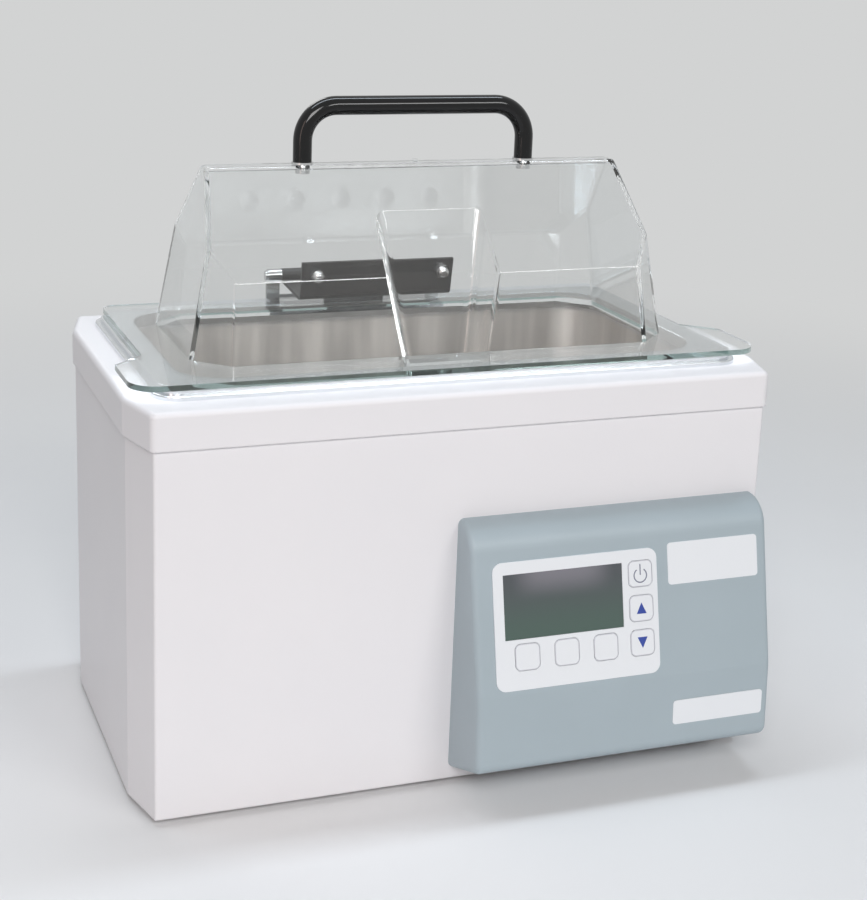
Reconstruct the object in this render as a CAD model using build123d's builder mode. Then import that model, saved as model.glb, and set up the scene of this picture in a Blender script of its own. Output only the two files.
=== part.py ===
from build123d import *
import os
from math import cos, radians, sin, tan

# Laboratory water bath of about five litres with a hinged clear gable lid.
# Millimetres, +Z up. The origin is the middle of the whole bath's footprint,
# on the bench. The control housing is at the front, towards -Y.

os.makedirs("parts", exist_ok=True)

# Casing
BODY_W = 360.0          # width of the sheet steel body
BODY_D = 210.0          # depth of the body without the control housing
BODY_H = 201.0          # body's lower edge to the deck cap's lower edge
FACET_X = 8.0           # the shallow corner facets, along the front
FACET_Y = 32.0          # and along the sides
FOOT_GAP = 3.5          # the body's lower edge above the bench
SHEET = 1.2             # sheet steel of every panel
CORNER_R = 1.5          # outer bend of the folded body
BASE_LIP = 12.0         # lip folded in at the bottom and round the rear opening
CAP_H = 20.0            # height of the deck cap
CAP_GAP = 0.3           # air between the cap's skirt and the body
CAP_EDGE_R = 3.0        # rounded upper edge of the cap
CAP_CORNER_R = 4.0
DECK_OPENING_W = 308.0  # opening in the deck that the tank drops into
DECK_OPENING_D = 162.0
DECK_OPENING_R = 30.0

# Feet and base plate
FOOT_R = 10.0
FOOT_X = 154.0
FOOT_Y = 79.0
FOOT_HOLE_R = 2.2
FOOT_SCREW_R = 2.0
FOOT_SCREW_HEAD_R = 4.0
FOOT_SCREW_HEAD_T = 1.6
FOOT_SCREW_LENGTH = 10.0
FOOT_RECESS = 2.4
FOOT_TAPER = 8.0        # the feet widen upwards, in degrees
HEAD_PLAY = 0.5         # round a screw's head in its recess
SCREW_PLAY = 0.1        # round a screw's shank where it passes through
THREAD_PLAY = 0.05      # and where it holds
BASE_SLOT = (4.0, 34.0)
BASE_SLOTS = (9, 2)
BASE_SLOT_PITCH = (30.0, 90.0)

# Rear panel
REAR_PANEL_W = 333.0
REAR_PANEL_H = 190.0
REAR_PANEL_Z = 103.0    # height of its middle
REAR_PANEL_R = 4.0
PANEL_SCREW_R = 1.5
PANEL_SCREW_HEAD_R = 3.5
PANEL_SCREW_HEAD_T = 2.0
PANEL_SCREW_INSET = 6.0
HEAD_BEVEL = 0.8        # bevelled edge of every outer screw head
LOUVRE_COLUMNS = (-115.0, -62.0, -9.0)
LOUVRE_ROWS = 5
LOUVRE_W = 40.0
LOUVRE_H = 8.5
LOUVRE_PROUD = 2.5
LOUVRE_LOW = 22.0
LOUVRE_PITCH = 12.0
LOUVRE_SLOT = 1.8
LOUVRE_LIP = 0.8        # sheet left in front of the slot
LOUVRE_END = 1.5        # and at each of its ends

# Tank
TANK_SHIFT = 2.0        # tank's middle behind the body's middle
TANK_W = 298.0          # inside the tank
TANK_D = 152.0
TANK_DEEP = 150.0       # below the rim
TANK_CORNER = 26.0
TANK_FLOOR_R = 12.0
TANK_SHEET = 1.0
RIM_W = 334.0           # outside of the rim
RIM_D = 180.0
RIM_H = 5.0             # rim above the deck
RIM_STEP = 3.0          # width of the rim's lower step
RIM_STEP_H = 2.5        # and its height
RIM_CORNER = 14.0
RIM_EDGE_R = 0.8
GASKET_W = (324.0, 310.0)
GASKET_D = (170.0, 164.0)
GASKET_CORNER = 10.0
BRACKET_X = 92.0
BRACKET_W = 20.0
BRACKET_T = 1.5
BRACKET_REACH = 16.0
BRACKET_DROP = 16.0
JACKET_WALL = 14.0      # insulation round the tank
JACKET_BELOW_DECK = 20.0
HEATER_SPACE = 8.0      # between the tank's floor and the insulation
TRAY_W = 250.0
TRAY_D = 126.0
TRAY_H = 15.0
TRAY_BEND_R = 2.5
TRAY_HOLES = (7, 3)
TRAY_HOLE_PITCH = (33.0, 36.0)
TRAY_HOLE_R = 7.0

# Heater and its controls
HEATER_W = 240.0
HEATER_D = 110.0
HEATER_T = 1.8
HEATER_CORNER = 8.0
HEATER_GAP = 2.0        # between the mat and what stands in its openings
THERMOSTAT_R = 8.0
THERMOSTAT_H = 7.0
THERMOSTAT_STEP = 2.0   # its cap is narrower and lower by this
SENSOR_R = 2.5
SENSOR_LENGTH = 40.0
SENSOR_TIP = 1.0
SENSOR_X = 80.0
POWER_BOARD = (120.0, 80.0)
POWER_BOARD_AT = (88.0, 4.0)
BOARD_T = 1.6
STANDOFF_H = 8.0
STANDOFF_R = 3.5
STANDOFF_INSET = 5.0
TRANSFORMER = (30.0, 26.0, 22.0)
TRANSFORMER_AT = (-38.0, 16.0)
BOARD_RELAY = (20.0, 16.0, 15.0)
BOARD_RELAYS_AT = ((0.0, 18.0), (26.0, 18.0))
TERMINALS = (80.0, 9.0, 11.0)
TERMINALS_AT = (0.0, -32.0)
CAPACITOR_R = 5.0
CAPACITOR_H = 14.0
CAPACITORS_AT = ((-30.0, -10.0), (-12.0, -10.0), (6.0, -10.0))
HEAT_SINK = (90.0, 70.0)
HEAT_SINK_AT = (-92.0, 4.0)
HEAT_SINK_BASE = 4.0
HEAT_SINK_FIN_H = 16.0
HEAT_SINK_FIN_T = 2.0
HEAT_SINK_FINS = 10
RELAY = (58.0, 45.0, 22.0)
RELAY_CORNER = 3.0
RELAY_NOTCH = 12.5      # square notch at each corner for a terminal
RELAY_NOTCH_DEEP = 8.0
RELAY_TERMINAL_R = 4.0
RELAY_TERMINAL_H = 3.0

# Lid, heights from the top of its flange and depths from the tank's middle
LID_WALL = 3.0
LID_REST_GAP = 0.4      # air between the flange and the rim
FLANGE_W = 322.0
FLANGE_FRONT = 89.5
FLANGE_REAR = 92.0
FLANGE_REAR_R = 8.0
EAR_REACH = 178.5       # the front corners widen to this half width
EAR_START = 26.0        # the widening begins here, ahead of the tank's middle
EAR_FULL = 43.0
EAR_R = 15.0
DOME_W = 278.0          # outside of the dome where it leaves the flange
DOME_D = 122.0
DOME_FACET = 18.5       # the dome's cut-off upright corners
DRAFT = 10.0            # lean of all its walls, in degrees
KNEE_Z = 42.5           # the front wall turns into the roof
RIDGE_Z = 96.0
RIDGE_FLAT = 12.0       # flat strip along the ridge
DOME_BEND_R = 3.0       # every outer bend of the dome and of the pocket's rim
POCKET_FLOOR = -6.0     # the pocket in the lid's front
POCKET_TOP = 73.8
POCKET_BACK_LOW = -44.0
POCKET_BACK_HIGH = -25.7
POCKET_HALF_LOW = 16.5
POCKET_HALF_HIGH = 30.0
POCKET_FLARE = 0.33     # its sides open by this much for each millimetre forward
POCKET_BEND_R = 4.0
GATE_R = 1.5            # moulding mark on the ridge
GATE_H = 1.6

# Handle
HANDLE_LEGS = 132.0
HANDLE_RISE = 37.0      # top of the bar above the ridge
HANDLE_D = 10.5
HANDLE_BEND = 19.0
WASHER_T = 1.2
WASHER_R = 6.0
HANDLE_SCREW_R = 2.4
HANDLE_SCREW_DEEP = 14.0
HANDLE_SCREW_SHORT = 1.0
HANDLE_SCREW_HEAD_R = 4.0
HANDLE_SCREW_HEAD_T = 2.6

# Hinge
HINGE_BEHIND = 100.0    # pin's axis behind the tank's middle
HINGE_UP = 12.0         # pin's axis above the flange
KNUCKLE_R = 4.0
PIN_R = 2.0
PIN_PLAY = 0.05
PIN_HEAD_R = 2.9
PIN_HEAD_T = 1.5
LEAF_HALF = 48.0
LEAF_LOW = 5.5
LEAF_HIGH = 28.0
LEAF_BEND_R = 3.0
BARREL_HALF = 57.0
MIDDLE_KNUCKLE = 19.5
KNUCKLE_GAP = 0.5
KNUCKLE_ROOM = 15.0     # square cut in one plate where the other's knuckles turn
HINGE_SHEET = 2.0
HINGE_FOOT_FRONT = 90.5
HINGE_TAB_H = 8.0
TAB_BEND_R = 2.0
BOLT_HALF = 39.5
BOLT_UP = 21.5
BOLT_R = 2.0
BOLT_HEAD_R = 3.6
BOLT_HEAD_T = 2.4
BOLT_SHORT = 2.0        # the bolt's end stays this far inside the nut
NUT_R = 4.2
NUT_H = 6.5
NUT_DOME_R = 3.4
NUT_DOME_BEND = 2.4
NUT_END = 1.5           # closed end of the nut
BASE_SCREW_X = 35.0
BASE_SCREW_Y = 96.0
BASE_SCREW_LENGTH = 6.2

# Control housing
HOUSING_LEFT = -8.8
HOUSING_W = 177.8
HOUSING_LOW = 6.4       # heights above the body's lower edge
HOUSING_TOP = 151.5
HOUSING_REACH = 38.0
CREASE_REACH = 35.8
CREASE_UP = 62.0
FRONT_UNDER = 20.5
SLOPE = 12.8            # lean of the keypad's face, in degrees
HOUSING_DRAFT = 1.2
HOUSING_WALL = 2.5
SHOULDER_R = 17.0
CREASE_R = 10.0
UNDER_R = 7.0
SIDE_EDGE_R = 3.5
BOSS_R = 4.0
BOSS_SIDE = 10.0        # screw bosses in from the housing's sides
BOSS_UP = (24.0, 142.0)
BOSS_SCREW_R = 1.45
BOSS_SCREW_DEEP = 12.0
BOSS_SCREW_SHORT = 2.0  # the screw's end stays this far from the hole's end
LEAD_X = 50.0           # where the control lead enters the body
LEAD_Z = 43.5
LEAD_HOLE_R = 6.0
GROMMET_R = 8.0
GROMMET_BORE_R = 4.0
GROMMET_FLANGE = 1.8

# Keypad, measured on the sloping face from the keypad's middle
KEYPAD_X = 50.8
KEYPAD_UP = 98.8
KEYPAD_W = 96.4
KEYPAD_H = 68.4
KEYPAD_T = 0.8
KEYPAD_R = 5.5
WINDOW_AT = (-7.6, 10.2)
WINDOW_W = 69.6
WINDOW_H = 34.8
WINDOW_PANE_T = 0.6
WINDOW_PLAY = 0.1       # between the pane's edges and the overlay
DISPLAY_W = 64.0        # opening in the housing behind the window
DISPLAY_H = 31.0
DISPLAY_MODULE = (70.0, 37.0, 8.5)
DISPLAY_HEADER = (58.0, 3.0)
DISPLAY_HEADER_IN = 2.0
KEY_SIZE = 14.0
KEY_CORNER_R = 3.0
KEY_GAP = 0.35
KEY_PROUD = 0.15        # key top above the overlay
KEY_TRAVEL = 0.4
KEY_FLANGE = 15.6       # keeps the key behind the overlay
KEY_FLANGE_T = 0.6
KEY_FLANGE_GAP = 0.15
KEY_POCKET = 1.5
STEM_R = 2.5
STEM_END = 5.0
SWITCH_SIZE = 10.0
SWITCH_H = 4.0
PLUNGER_R = 1.75
KEYS = {
    "key_power": (38.0, 20.8),
    "key_up": (38.0, 2.0),
    "key_down": (38.0, -16.8),
    "key_soft_left": (-30.0, -16.8),
    "key_soft_middle": (-7.0, -16.8),
    "key_soft_right": (16.0, -16.8),
}
CONTROL_BOARD = (104.0, 78.0)
BOARD_DEPTH = 14.0      # board's upper face below the sloping face
BOARD_POSTS = (92.0, 68.0)
BOARD_POST_R = 3.0
LABEL_T = 0.4
LABEL_R = 2.0
UPPER_LABEL = (133.8, 24.2, 55.6, 23.0)    # x, way up the face, width, height
LOWER_LABEL = (135.6, 40.8, 55.6, 13.9)    # x, height above the body's lower edge, and size

# Mains inlet
INLET_X = 110.0
INLET_Z = 40.0
INLET_W = 50.0
INLET_H = 28.0
INLET_PROUD = 2.5
INLET_BODY_W = 28.0
INLET_BODY_H = 20.5
INLET_BODY_DEEP = 24.0
INLET_BODY_CORNER = 1.5
INLET_FIT = 0.2         # between the inlet's body and its cut-out
INLET_BULGE = 4.0       # its round ends are cut off by half of this
INLET_HOLES = 40.0
SOCKET_W = 24.0
SOCKET_H = 16.5
SOCKET_DEEP = 16.5
SOCKET_CORNER = 4.0
SOCKET_BEND_R = 0.8
PIN_BLADE = (2.0, 4.0, 11.0)
PIN_TIP = 0.5
PIN_BLADES = ((0.0, 2.0), (-7.0, -2.0), (7.0, -2.0))
INLET_SCREW = 1.8       # height of the head
INLET_SCREW_R = 1.5
INLET_SCREW_HEAD_R = 3.0
INLET_SCREW_LENGTH = 8.5

# Heights and depths that follow from the sizes above
front_reach = BODY_D / 2 + HOUSING_REACH
rear_reach = BODY_D / 2 + SHEET + INLET_PROUD + INLET_SCREW
BODY_Y = (front_reach - rear_reach) / 2
FRONT_Y = BODY_Y - BODY_D / 2
REAR_Y = BODY_Y + BODY_D / 2
PANEL_FACE_Y = REAR_Y + SHEET
CAP_Z = FOOT_GAP + BODY_H
DECK_Z = CAP_Z + CAP_H
RIM_Z = DECK_Z + RIM_H
LID_Z = RIM_Z + LID_REST_GAP + LID_WALL
TANK_Y = BODY_Y + TANK_SHIFT
TANK_FLOOR_Z = RIM_Z - TANK_DEEP
TANK_UNDER_Z = TANK_FLOOR_Z - TANK_SHEET
BASE_Z = FOOT_GAP + SHEET
BENCH_Z = BASE_Z + SHEET        # upper face of the base plate
HINGE_Y = TANK_Y + HINGE_BEHIND
HINGE_Z = LID_Z + HINGE_UP
LEAN = tan(radians(DRAFT))


def keep(piece, label):
    """Labels a finished piece and writes its file."""
    piece.part.label = label
    export_step(piece.part, f"parts/{label}.step")


def facing_front(y):
    """A plane at depth y that looks towards -Y, with X to the right and Z up."""
    return Plane((0, y, 0), x_dir=(1, 0, 0), z_dir=(0, -1, 0))


def four_ways(quarter):
    """A closed outline from its points in the +X +Y quarter, listed from +Y round to +X."""
    right = quarter + [(x, -y) for x, y in reversed(quarter)]
    return right + [(-x, y) for x, y in reversed(right)]


def body_plan(z, inset=0.0, corner=CORNER_R):
    """The body's eight-sided plan at height z, drawn in by inset."""
    x, y = BODY_W / 2, BODY_D / 2
    with BuildSketch(Plane((0, BODY_Y, z))) as plan:
        Polygon(*four_ways([(x - FACET_X, y), (x, y - FACET_Y)]))
        if inset:
            offset(amount=-inset, kind=Kind.INTERSECTION)
        fillet(plan.vertices(), radius=corner)
    return plan.sketch


def tank_plan(z, width, depth, corner):
    """A rounded rectangle about the tank's middle at height z."""
    with BuildSketch(Plane((0, TANK_Y, z))) as plan:
        RectangleRounded(width, depth, corner)
    return plan.sketch


def basin(grow, z, top, floor_r):
    """The tank's inside, grown all round, from a rounded floor at height z up to top."""
    with BuildPart() as block:
        plan = tank_plan(z, TANK_W + 2 * grow, TANK_D + 2 * grow, TANK_CORNER + grow)
        extrude(plan, amount=top - z)
        fillet(block.faces().sort_by(Axis.Z)[0].edges(), radius=floor_r)
    return block.part


# Body shell: one folded sheet with lips at the bottom and round the rear opening
housing_mid = HOUSING_LEFT + HOUSING_W / 2
boss_middle = FOOT_GAP + sum(BOSS_UP) / 2
boss_spread = (HOUSING_W - 2 * BOSS_SIDE, BOSS_UP[1] - BOSS_UP[0])
panel_screw_spread = ((REAR_PANEL_W - 2 * PANEL_SCREW_INSET) / 2,
                      REAR_PANEL_H - 2 * PANEL_SCREW_INSET)
with BuildPart() as body_shell:
    shell_top = DECK_Z - SHEET
    extrude(body_plan(FOOT_GAP), amount=shell_top - FOOT_GAP)
    extrude(body_plan(BASE_Z, SHEET), amount=shell_top - BASE_Z, mode=Mode.SUBTRACT)
    extrude(body_plan(FOOT_GAP, BASE_LIP), amount=SHEET, mode=Mode.SUBTRACT)
    with BuildSketch(facing_front(REAR_Y)):
        with Locations((0, REAR_PANEL_Z)):
            Rectangle(REAR_PANEL_W - 2 * BASE_LIP, REAR_PANEL_H - 2 * BASE_LIP)
            with GridLocations(*panel_screw_spread, 3, 2):
                Circle(PANEL_SCREW_R + SCREW_PLAY)
    extrude(amount=SHEET, mode=Mode.SUBTRACT)
    # the control housing's screws and lead go through the front
    with BuildSketch(facing_front(FRONT_Y + SHEET)):
        with Locations((LEAD_X, LEAD_Z)):
            Circle(LEAD_HOLE_R)
        with Locations((housing_mid, boss_middle)):
            with GridLocations(*boss_spread, 2, 2):
                Circle(BOSS_SCREW_R + SCREW_PLAY)
    extrude(amount=SHEET, mode=Mode.SUBTRACT)
keep(body_shell, "body_shell")

# Base plate: rests on the shell's bottom lip, slotted so that air can rise past the electronics
with BuildPart() as base_plate:
    extrude(body_plan(BASE_Z, SHEET + CAP_GAP), amount=SHEET)
    with BuildSketch(Plane((0, BODY_Y, BASE_Z))):
        with GridLocations(*BASE_SLOT_PITCH, *BASE_SLOTS):
            Rectangle(*BASE_SLOT)
        with GridLocations(2 * FOOT_X, 2 * FOOT_Y, 2, 2):
            Circle(FOOT_HOLE_R)
    extrude(amount=SHEET, mode=Mode.SUBTRACT)
keep(base_plate, "base_plate")

# Feet: four soft rubber discs, recessed from below for their screws
with BuildPart() as rubber_feet:
    with BuildSketch(Plane((0, BODY_Y, 0))):
        with GridLocations(2 * FOOT_X, 2 * FOOT_Y, 2, 2):
            Circle(FOOT_R)
    extrude(amount=BASE_Z, taper=-FOOT_TAPER)
    with BuildSketch(Plane((0, BODY_Y, 0))):
        with GridLocations(2 * FOOT_X, 2 * FOOT_Y, 2, 2):
            Circle(FOOT_SCREW_HEAD_R + HEAD_PLAY)
    extrude(amount=FOOT_RECESS, mode=Mode.SUBTRACT)
    with BuildSketch(Plane((0, BODY_Y, 0))):
        with GridLocations(2 * FOOT_X, 2 * FOOT_Y, 2, 2):
            Circle(FOOT_HOLE_R)
    extrude(amount=BASE_Z, mode=Mode.SUBTRACT)
keep(rubber_feet, "rubber_feet")

with BuildPart() as foot_screws:
    with BuildSketch(Plane((0, BODY_Y, FOOT_RECESS))):
        with GridLocations(2 * FOOT_X, 2 * FOOT_Y, 2, 2):
            Circle(FOOT_SCREW_HEAD_R)
    extrude(amount=-FOOT_SCREW_HEAD_T)
    with BuildSketch(Plane((0, BODY_Y, FOOT_RECESS))):
        with GridLocations(2 * FOOT_X, 2 * FOOT_Y, 2, 2):
            Circle(FOOT_SCREW_R)
    extrude(amount=FOOT_SCREW_LENGTH)
keep(foot_screws, "foot_screws")

# Rear panel: laid over the rear opening, with pressed louvres and the mains inlet's cut-out
with BuildPart() as rear_panel:
    with BuildSketch(facing_front(PANEL_FACE_Y)):
        with Locations((0, REAR_PANEL_Z)):
            RectangleRounded(REAR_PANEL_W, REAR_PANEL_H, REAR_PANEL_R)
    extrude(amount=SHEET)
    # each louvre is a hood pushed outwards over a slot
    for column in LOUVRE_COLUMNS:
        for row in range(LOUVRE_ROWS):
            low = LOUVRE_LOW + row * LOUVRE_PITCH
            with BuildSketch(Plane.YZ.offset(column - LOUVRE_W / 2)):
                with BuildLine():
                    Polyline(
                        (PANEL_FACE_Y, low + LOUVRE_H),
                        (PANEL_FACE_Y + LOUVRE_PROUD, low),
                        (PANEL_FACE_Y, low),
                        close=True,
                    )
                make_face()
            extrude(amount=LOUVRE_W)
    with BuildSketch(facing_front(PANEL_FACE_Y + LOUVRE_PROUD - LOUVRE_LIP)):
        for column in LOUVRE_COLUMNS:
            for row in range(LOUVRE_ROWS):
                with Locations((column, LOUVRE_LOW + row * LOUVRE_PITCH + LOUVRE_SLOT / 2)):
                    Rectangle(LOUVRE_W - 2 * LOUVRE_END, LOUVRE_SLOT)
    extrude(amount=LOUVRE_PROUD + SHEET, mode=Mode.SUBTRACT)
    with BuildSketch(facing_front(PANEL_FACE_Y)):
        with Locations((INLET_X, INLET_Z)):
            Rectangle(INLET_BODY_W + 2 * INLET_FIT, INLET_BODY_H + 2 * INLET_FIT)
            with GridLocations(INLET_HOLES, 0, 2, 1):
                Circle(INLET_SCREW_R + SCREW_PLAY)
        with Locations((0, REAR_PANEL_Z)):
            with GridLocations(*panel_screw_spread, 3, 2):
                Circle(PANEL_SCREW_R + SCREW_PLAY)
    extrude(amount=SHEET, mode=Mode.SUBTRACT)
keep(rear_panel, "rear_panel")

with BuildPart() as rear_panel_screws:
    with BuildSketch(facing_front(PANEL_FACE_Y)):
        with Locations((0, REAR_PANEL_Z)):
            with GridLocations(*panel_screw_spread, 3, 2):
                Circle(PANEL_SCREW_HEAD_R)
    extrude(amount=-PANEL_SCREW_HEAD_T)
    chamfer(rear_panel_screws.edges().group_by(Axis.Y)[-1], length=HEAD_BEVEL)
    with BuildSketch(facing_front(PANEL_FACE_Y)):
        with Locations((0, REAR_PANEL_Z)):
            with GridLocations(*panel_screw_spread, 3, 2):
                Circle(PANEL_SCREW_R)
    extrude(amount=4 * SHEET)
keep(rear_panel_screws, "rear_panel_screws")

# Mains inlet: a moulded socket with two screw holes and three blades
with BuildPart() as mains_inlet:
    with BuildSketch(facing_front(PANEL_FACE_Y + INLET_PROUD)):
        with Locations((INLET_X, INLET_Z)):
            SlotOverall(INLET_W + INLET_BULGE, INLET_H)
            Rectangle(INLET_W, INLET_H, mode=Mode.INTERSECT)
    extrude(amount=INLET_PROUD)
    with BuildSketch(facing_front(PANEL_FACE_Y)):
        with Locations((INLET_X, INLET_Z)):
            RectangleRounded(INLET_BODY_W, INLET_BODY_H, INLET_BODY_CORNER)
    extrude(amount=INLET_BODY_DEEP)
    with BuildSketch(facing_front(PANEL_FACE_Y + INLET_PROUD)) as socket:
        with Locations((INLET_X, INLET_Z)):
            Rectangle(SOCKET_W, SOCKET_H)
        chamfer(socket.vertices().group_by(Axis.Z)[-1], length=SOCKET_CORNER)
        fillet(socket.vertices(), radius=SOCKET_BEND_R)
    extrude(amount=SOCKET_DEEP, mode=Mode.SUBTRACT)
    with BuildSketch(facing_front(PANEL_FACE_Y + INLET_PROUD)):
        with Locations((INLET_X, INLET_Z)):
            with GridLocations(INLET_HOLES, 0, 2, 1):
                Circle(INLET_SCREW_R + SCREW_PLAY)
    extrude(amount=INLET_PROUD, mode=Mode.SUBTRACT)
keep(mains_inlet, "mains_inlet")

with BuildPart() as inlet_pins:
    with BuildSketch(facing_front(PANEL_FACE_Y + INLET_PROUD - SOCKET_DEEP)):
        with Locations((INLET_X, INLET_Z)):
            with Locations(*PIN_BLADES):
                Rectangle(PIN_BLADE[0], PIN_BLADE[1])
    extrude(amount=-PIN_BLADE[2])
    chamfer(inlet_pins.edges().group_by(Axis.Y)[-1], length=PIN_TIP)
keep(inlet_pins, "inlet_pins")

with BuildPart() as inlet_screws:
    with BuildSketch(facing_front(PANEL_FACE_Y + INLET_PROUD)):
        with Locations((INLET_X, INLET_Z)):
            with GridLocations(INLET_HOLES, 0, 2, 1):
                Circle(INLET_SCREW_HEAD_R)
    extrude(amount=-INLET_SCREW)
    chamfer(inlet_screws.edges().group_by(Axis.Y)[-1], length=HEAD_BEVEL)
    with BuildSketch(facing_front(PANEL_FACE_Y + INLET_PROUD)):
        with Locations((INLET_X, INLET_Z)):
            with GridLocations(INLET_HOLES, 0, 2, 1):
                Circle(INLET_SCREW_R)
    extrude(amount=INLET_SCREW_LENGTH)
keep(inlet_screws, "inlet_screws")

# Deck cap: a shallow pressing laid over the shell, with the tank's opening
with BuildPart() as deck_cap:
    extrude(body_plan(CAP_Z, -(CAP_GAP + SHEET), CAP_CORNER_R), amount=CAP_H)
    fillet(deck_cap.faces().sort_by(Axis.Z)[-1].edges(), radius=CAP_EDGE_R)
    extrude(body_plan(CAP_Z, -CAP_GAP), amount=CAP_H - SHEET, mode=Mode.SUBTRACT)
    opening = tank_plan(CAP_Z, DECK_OPENING_W, DECK_OPENING_D, DECK_OPENING_R)
    extrude(opening, amount=CAP_H, mode=Mode.SUBTRACT)
    with BuildSketch(Plane((0, TANK_Y + BASE_SCREW_Y, DECK_Z))):
        with GridLocations(2 * BASE_SCREW_X, 0, 2, 1):
            Circle(PANEL_SCREW_R + SCREW_PLAY)
    extrude(amount=-SHEET, mode=Mode.SUBTRACT)
keep(deck_cap, "deck_cap")

# Tank: deep-drawn basin with a stepped rim that laps over the deck
outer_basin = basin(TANK_SHEET, TANK_UNDER_Z, RIM_Z, TANK_FLOOR_R + TANK_SHEET)
inner_basin = basin(0, TANK_FLOOR_Z, RIM_Z, TANK_FLOOR_R)
with BuildPart() as tank:
    extrude(tank_plan(DECK_Z, RIM_W, RIM_D, RIM_CORNER), amount=RIM_STEP_H)
    fillet(tank.edges().group_by(Axis.Z)[-1], radius=RIM_EDGE_R)
    upper = (RIM_W - 2 * RIM_STEP, RIM_D - 2 * RIM_STEP, RIM_CORNER - RIM_STEP)
    extrude(tank_plan(DECK_Z, *upper), amount=RIM_H)
    for (width, depth, corner), height in (((RIM_W, RIM_D, RIM_CORNER), RIM_STEP_H),
                                           (upper, RIM_H)):
        hollow = tank_plan(DECK_Z, width - 2 * TANK_SHEET, depth - 2 * TANK_SHEET,
                           corner - TANK_SHEET)
        extrude(hollow, amount=height - TANK_SHEET, mode=Mode.SUBTRACT)
    add(outer_basin)
    add(inner_basin, mode=Mode.SUBTRACT)
    fillet(tank.edges().group_by(Axis.Z)[-1], radius=RIM_EDGE_R)
keep(tank, "tank")

# Gasket: a flat ring under the rim that keeps spilled water out of the casing
with BuildPart() as tank_gasket:
    gasket = tank_plan(DECK_Z, GASKET_W[0], GASKET_D[0], GASKET_CORNER)
    gasket_bore = tank_plan(DECK_Z, GASKET_W[1], GASKET_D[1], DECK_OPENING_R)
    extrude(gasket, amount=RIM_H - TANK_SHEET)
    extrude(gasket_bore, amount=RIM_H - TANK_SHEET, mode=Mode.SUBTRACT)
keep(tank_gasket, "tank_gasket")

# Brackets: four angles welded to the tank that hook under the deck
with BuildPart() as tank_brackets:
    wall_y = TANK_Y + TANK_D / 2 + TANK_SHEET
    under_deck = DECK_Z - SHEET
    with BuildSketch(Plane.YZ.offset(BRACKET_X)):
        with BuildLine():
            Polyline(
                (wall_y, under_deck),
                (wall_y + BRACKET_REACH, under_deck),
                (wall_y + BRACKET_REACH, under_deck - BRACKET_T),
                (wall_y + BRACKET_T, under_deck - BRACKET_T),
                (wall_y + BRACKET_T, under_deck - BRACKET_DROP),
                (wall_y, under_deck - BRACKET_DROP),
                close=True,
            )
        make_face()
    extrude(amount=BRACKET_W)
    mirror(about=Plane.YZ)
    mirror(about=facing_front(TANK_Y))
keep(tank_brackets, "tank_brackets")

# Insulation: a wool jacket with a hollow below the tank for the heater
jacket_under = TANK_UNDER_Z - HEATER_SPACE - JACKET_WALL
jacket_top = DECK_Z - JACKET_BELOW_DECK
jacket_grow = TANK_SHEET + JACKET_WALL
with BuildPart() as tank_insulation:
    jacket = tank_plan(jacket_under, TANK_W + 2 * jacket_grow, TANK_D + 2 * jacket_grow,
                       TANK_CORNER + jacket_grow)
    extrude(jacket, amount=jacket_top - jacket_under)
    jacket_bore = tank_plan(TANK_UNDER_Z - HEATER_SPACE, TANK_W + 2 * TANK_SHEET,
                            TANK_D + 2 * TANK_SHEET, TANK_CORNER + TANK_SHEET)
    extrude(jacket_bore, amount=BODY_H, mode=Mode.SUBTRACT)
keep(tank_insulation, "tank_insulation")

# Heater: a flat silicone mat on the tank's floor, open for the thermostat and the sensor
with BuildPart() as heater_mat:
    with BuildSketch(Plane((0, TANK_Y, TANK_UNDER_Z))):
        RectangleRounded(HEATER_W, HEATER_D, HEATER_CORNER)
        Circle(THERMOSTAT_R + HEATER_GAP, mode=Mode.SUBTRACT)
        with Locations((SENSOR_X, 0)):
            Rectangle(SENSOR_LENGTH + 2 * HEATER_GAP, 2 * (SENSOR_R + HEATER_GAP),
                      mode=Mode.SUBTRACT)
    extrude(amount=-HEATER_T)
keep(heater_mat, "heater_mat")

with BuildPart() as limit_thermostat:
    with BuildSketch(Plane((0, TANK_Y, TANK_UNDER_Z))):
        Circle(THERMOSTAT_R)
    extrude(amount=THERMOSTAT_STEP - THERMOSTAT_H)
    with BuildSketch(Plane((0, TANK_Y, TANK_UNDER_Z))):
        Circle(THERMOSTAT_R - THERMOSTAT_STEP)
    extrude(amount=-THERMOSTAT_H)
keep(limit_thermostat, "limit_thermostat")

with BuildPart() as temperature_sensor:
    with BuildSketch(Plane.YZ.offset(SENSOR_X - SENSOR_LENGTH / 2)):
        with Locations((TANK_Y, TANK_UNDER_Z - SENSOR_R)):
            Circle(SENSOR_R)
    extrude(amount=SENSOR_LENGTH)
    chamfer(temperature_sensor.edges().group_by(Axis.X)[-1], length=SENSOR_TIP)
keep(temperature_sensor, "temperature_sensor")

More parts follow.
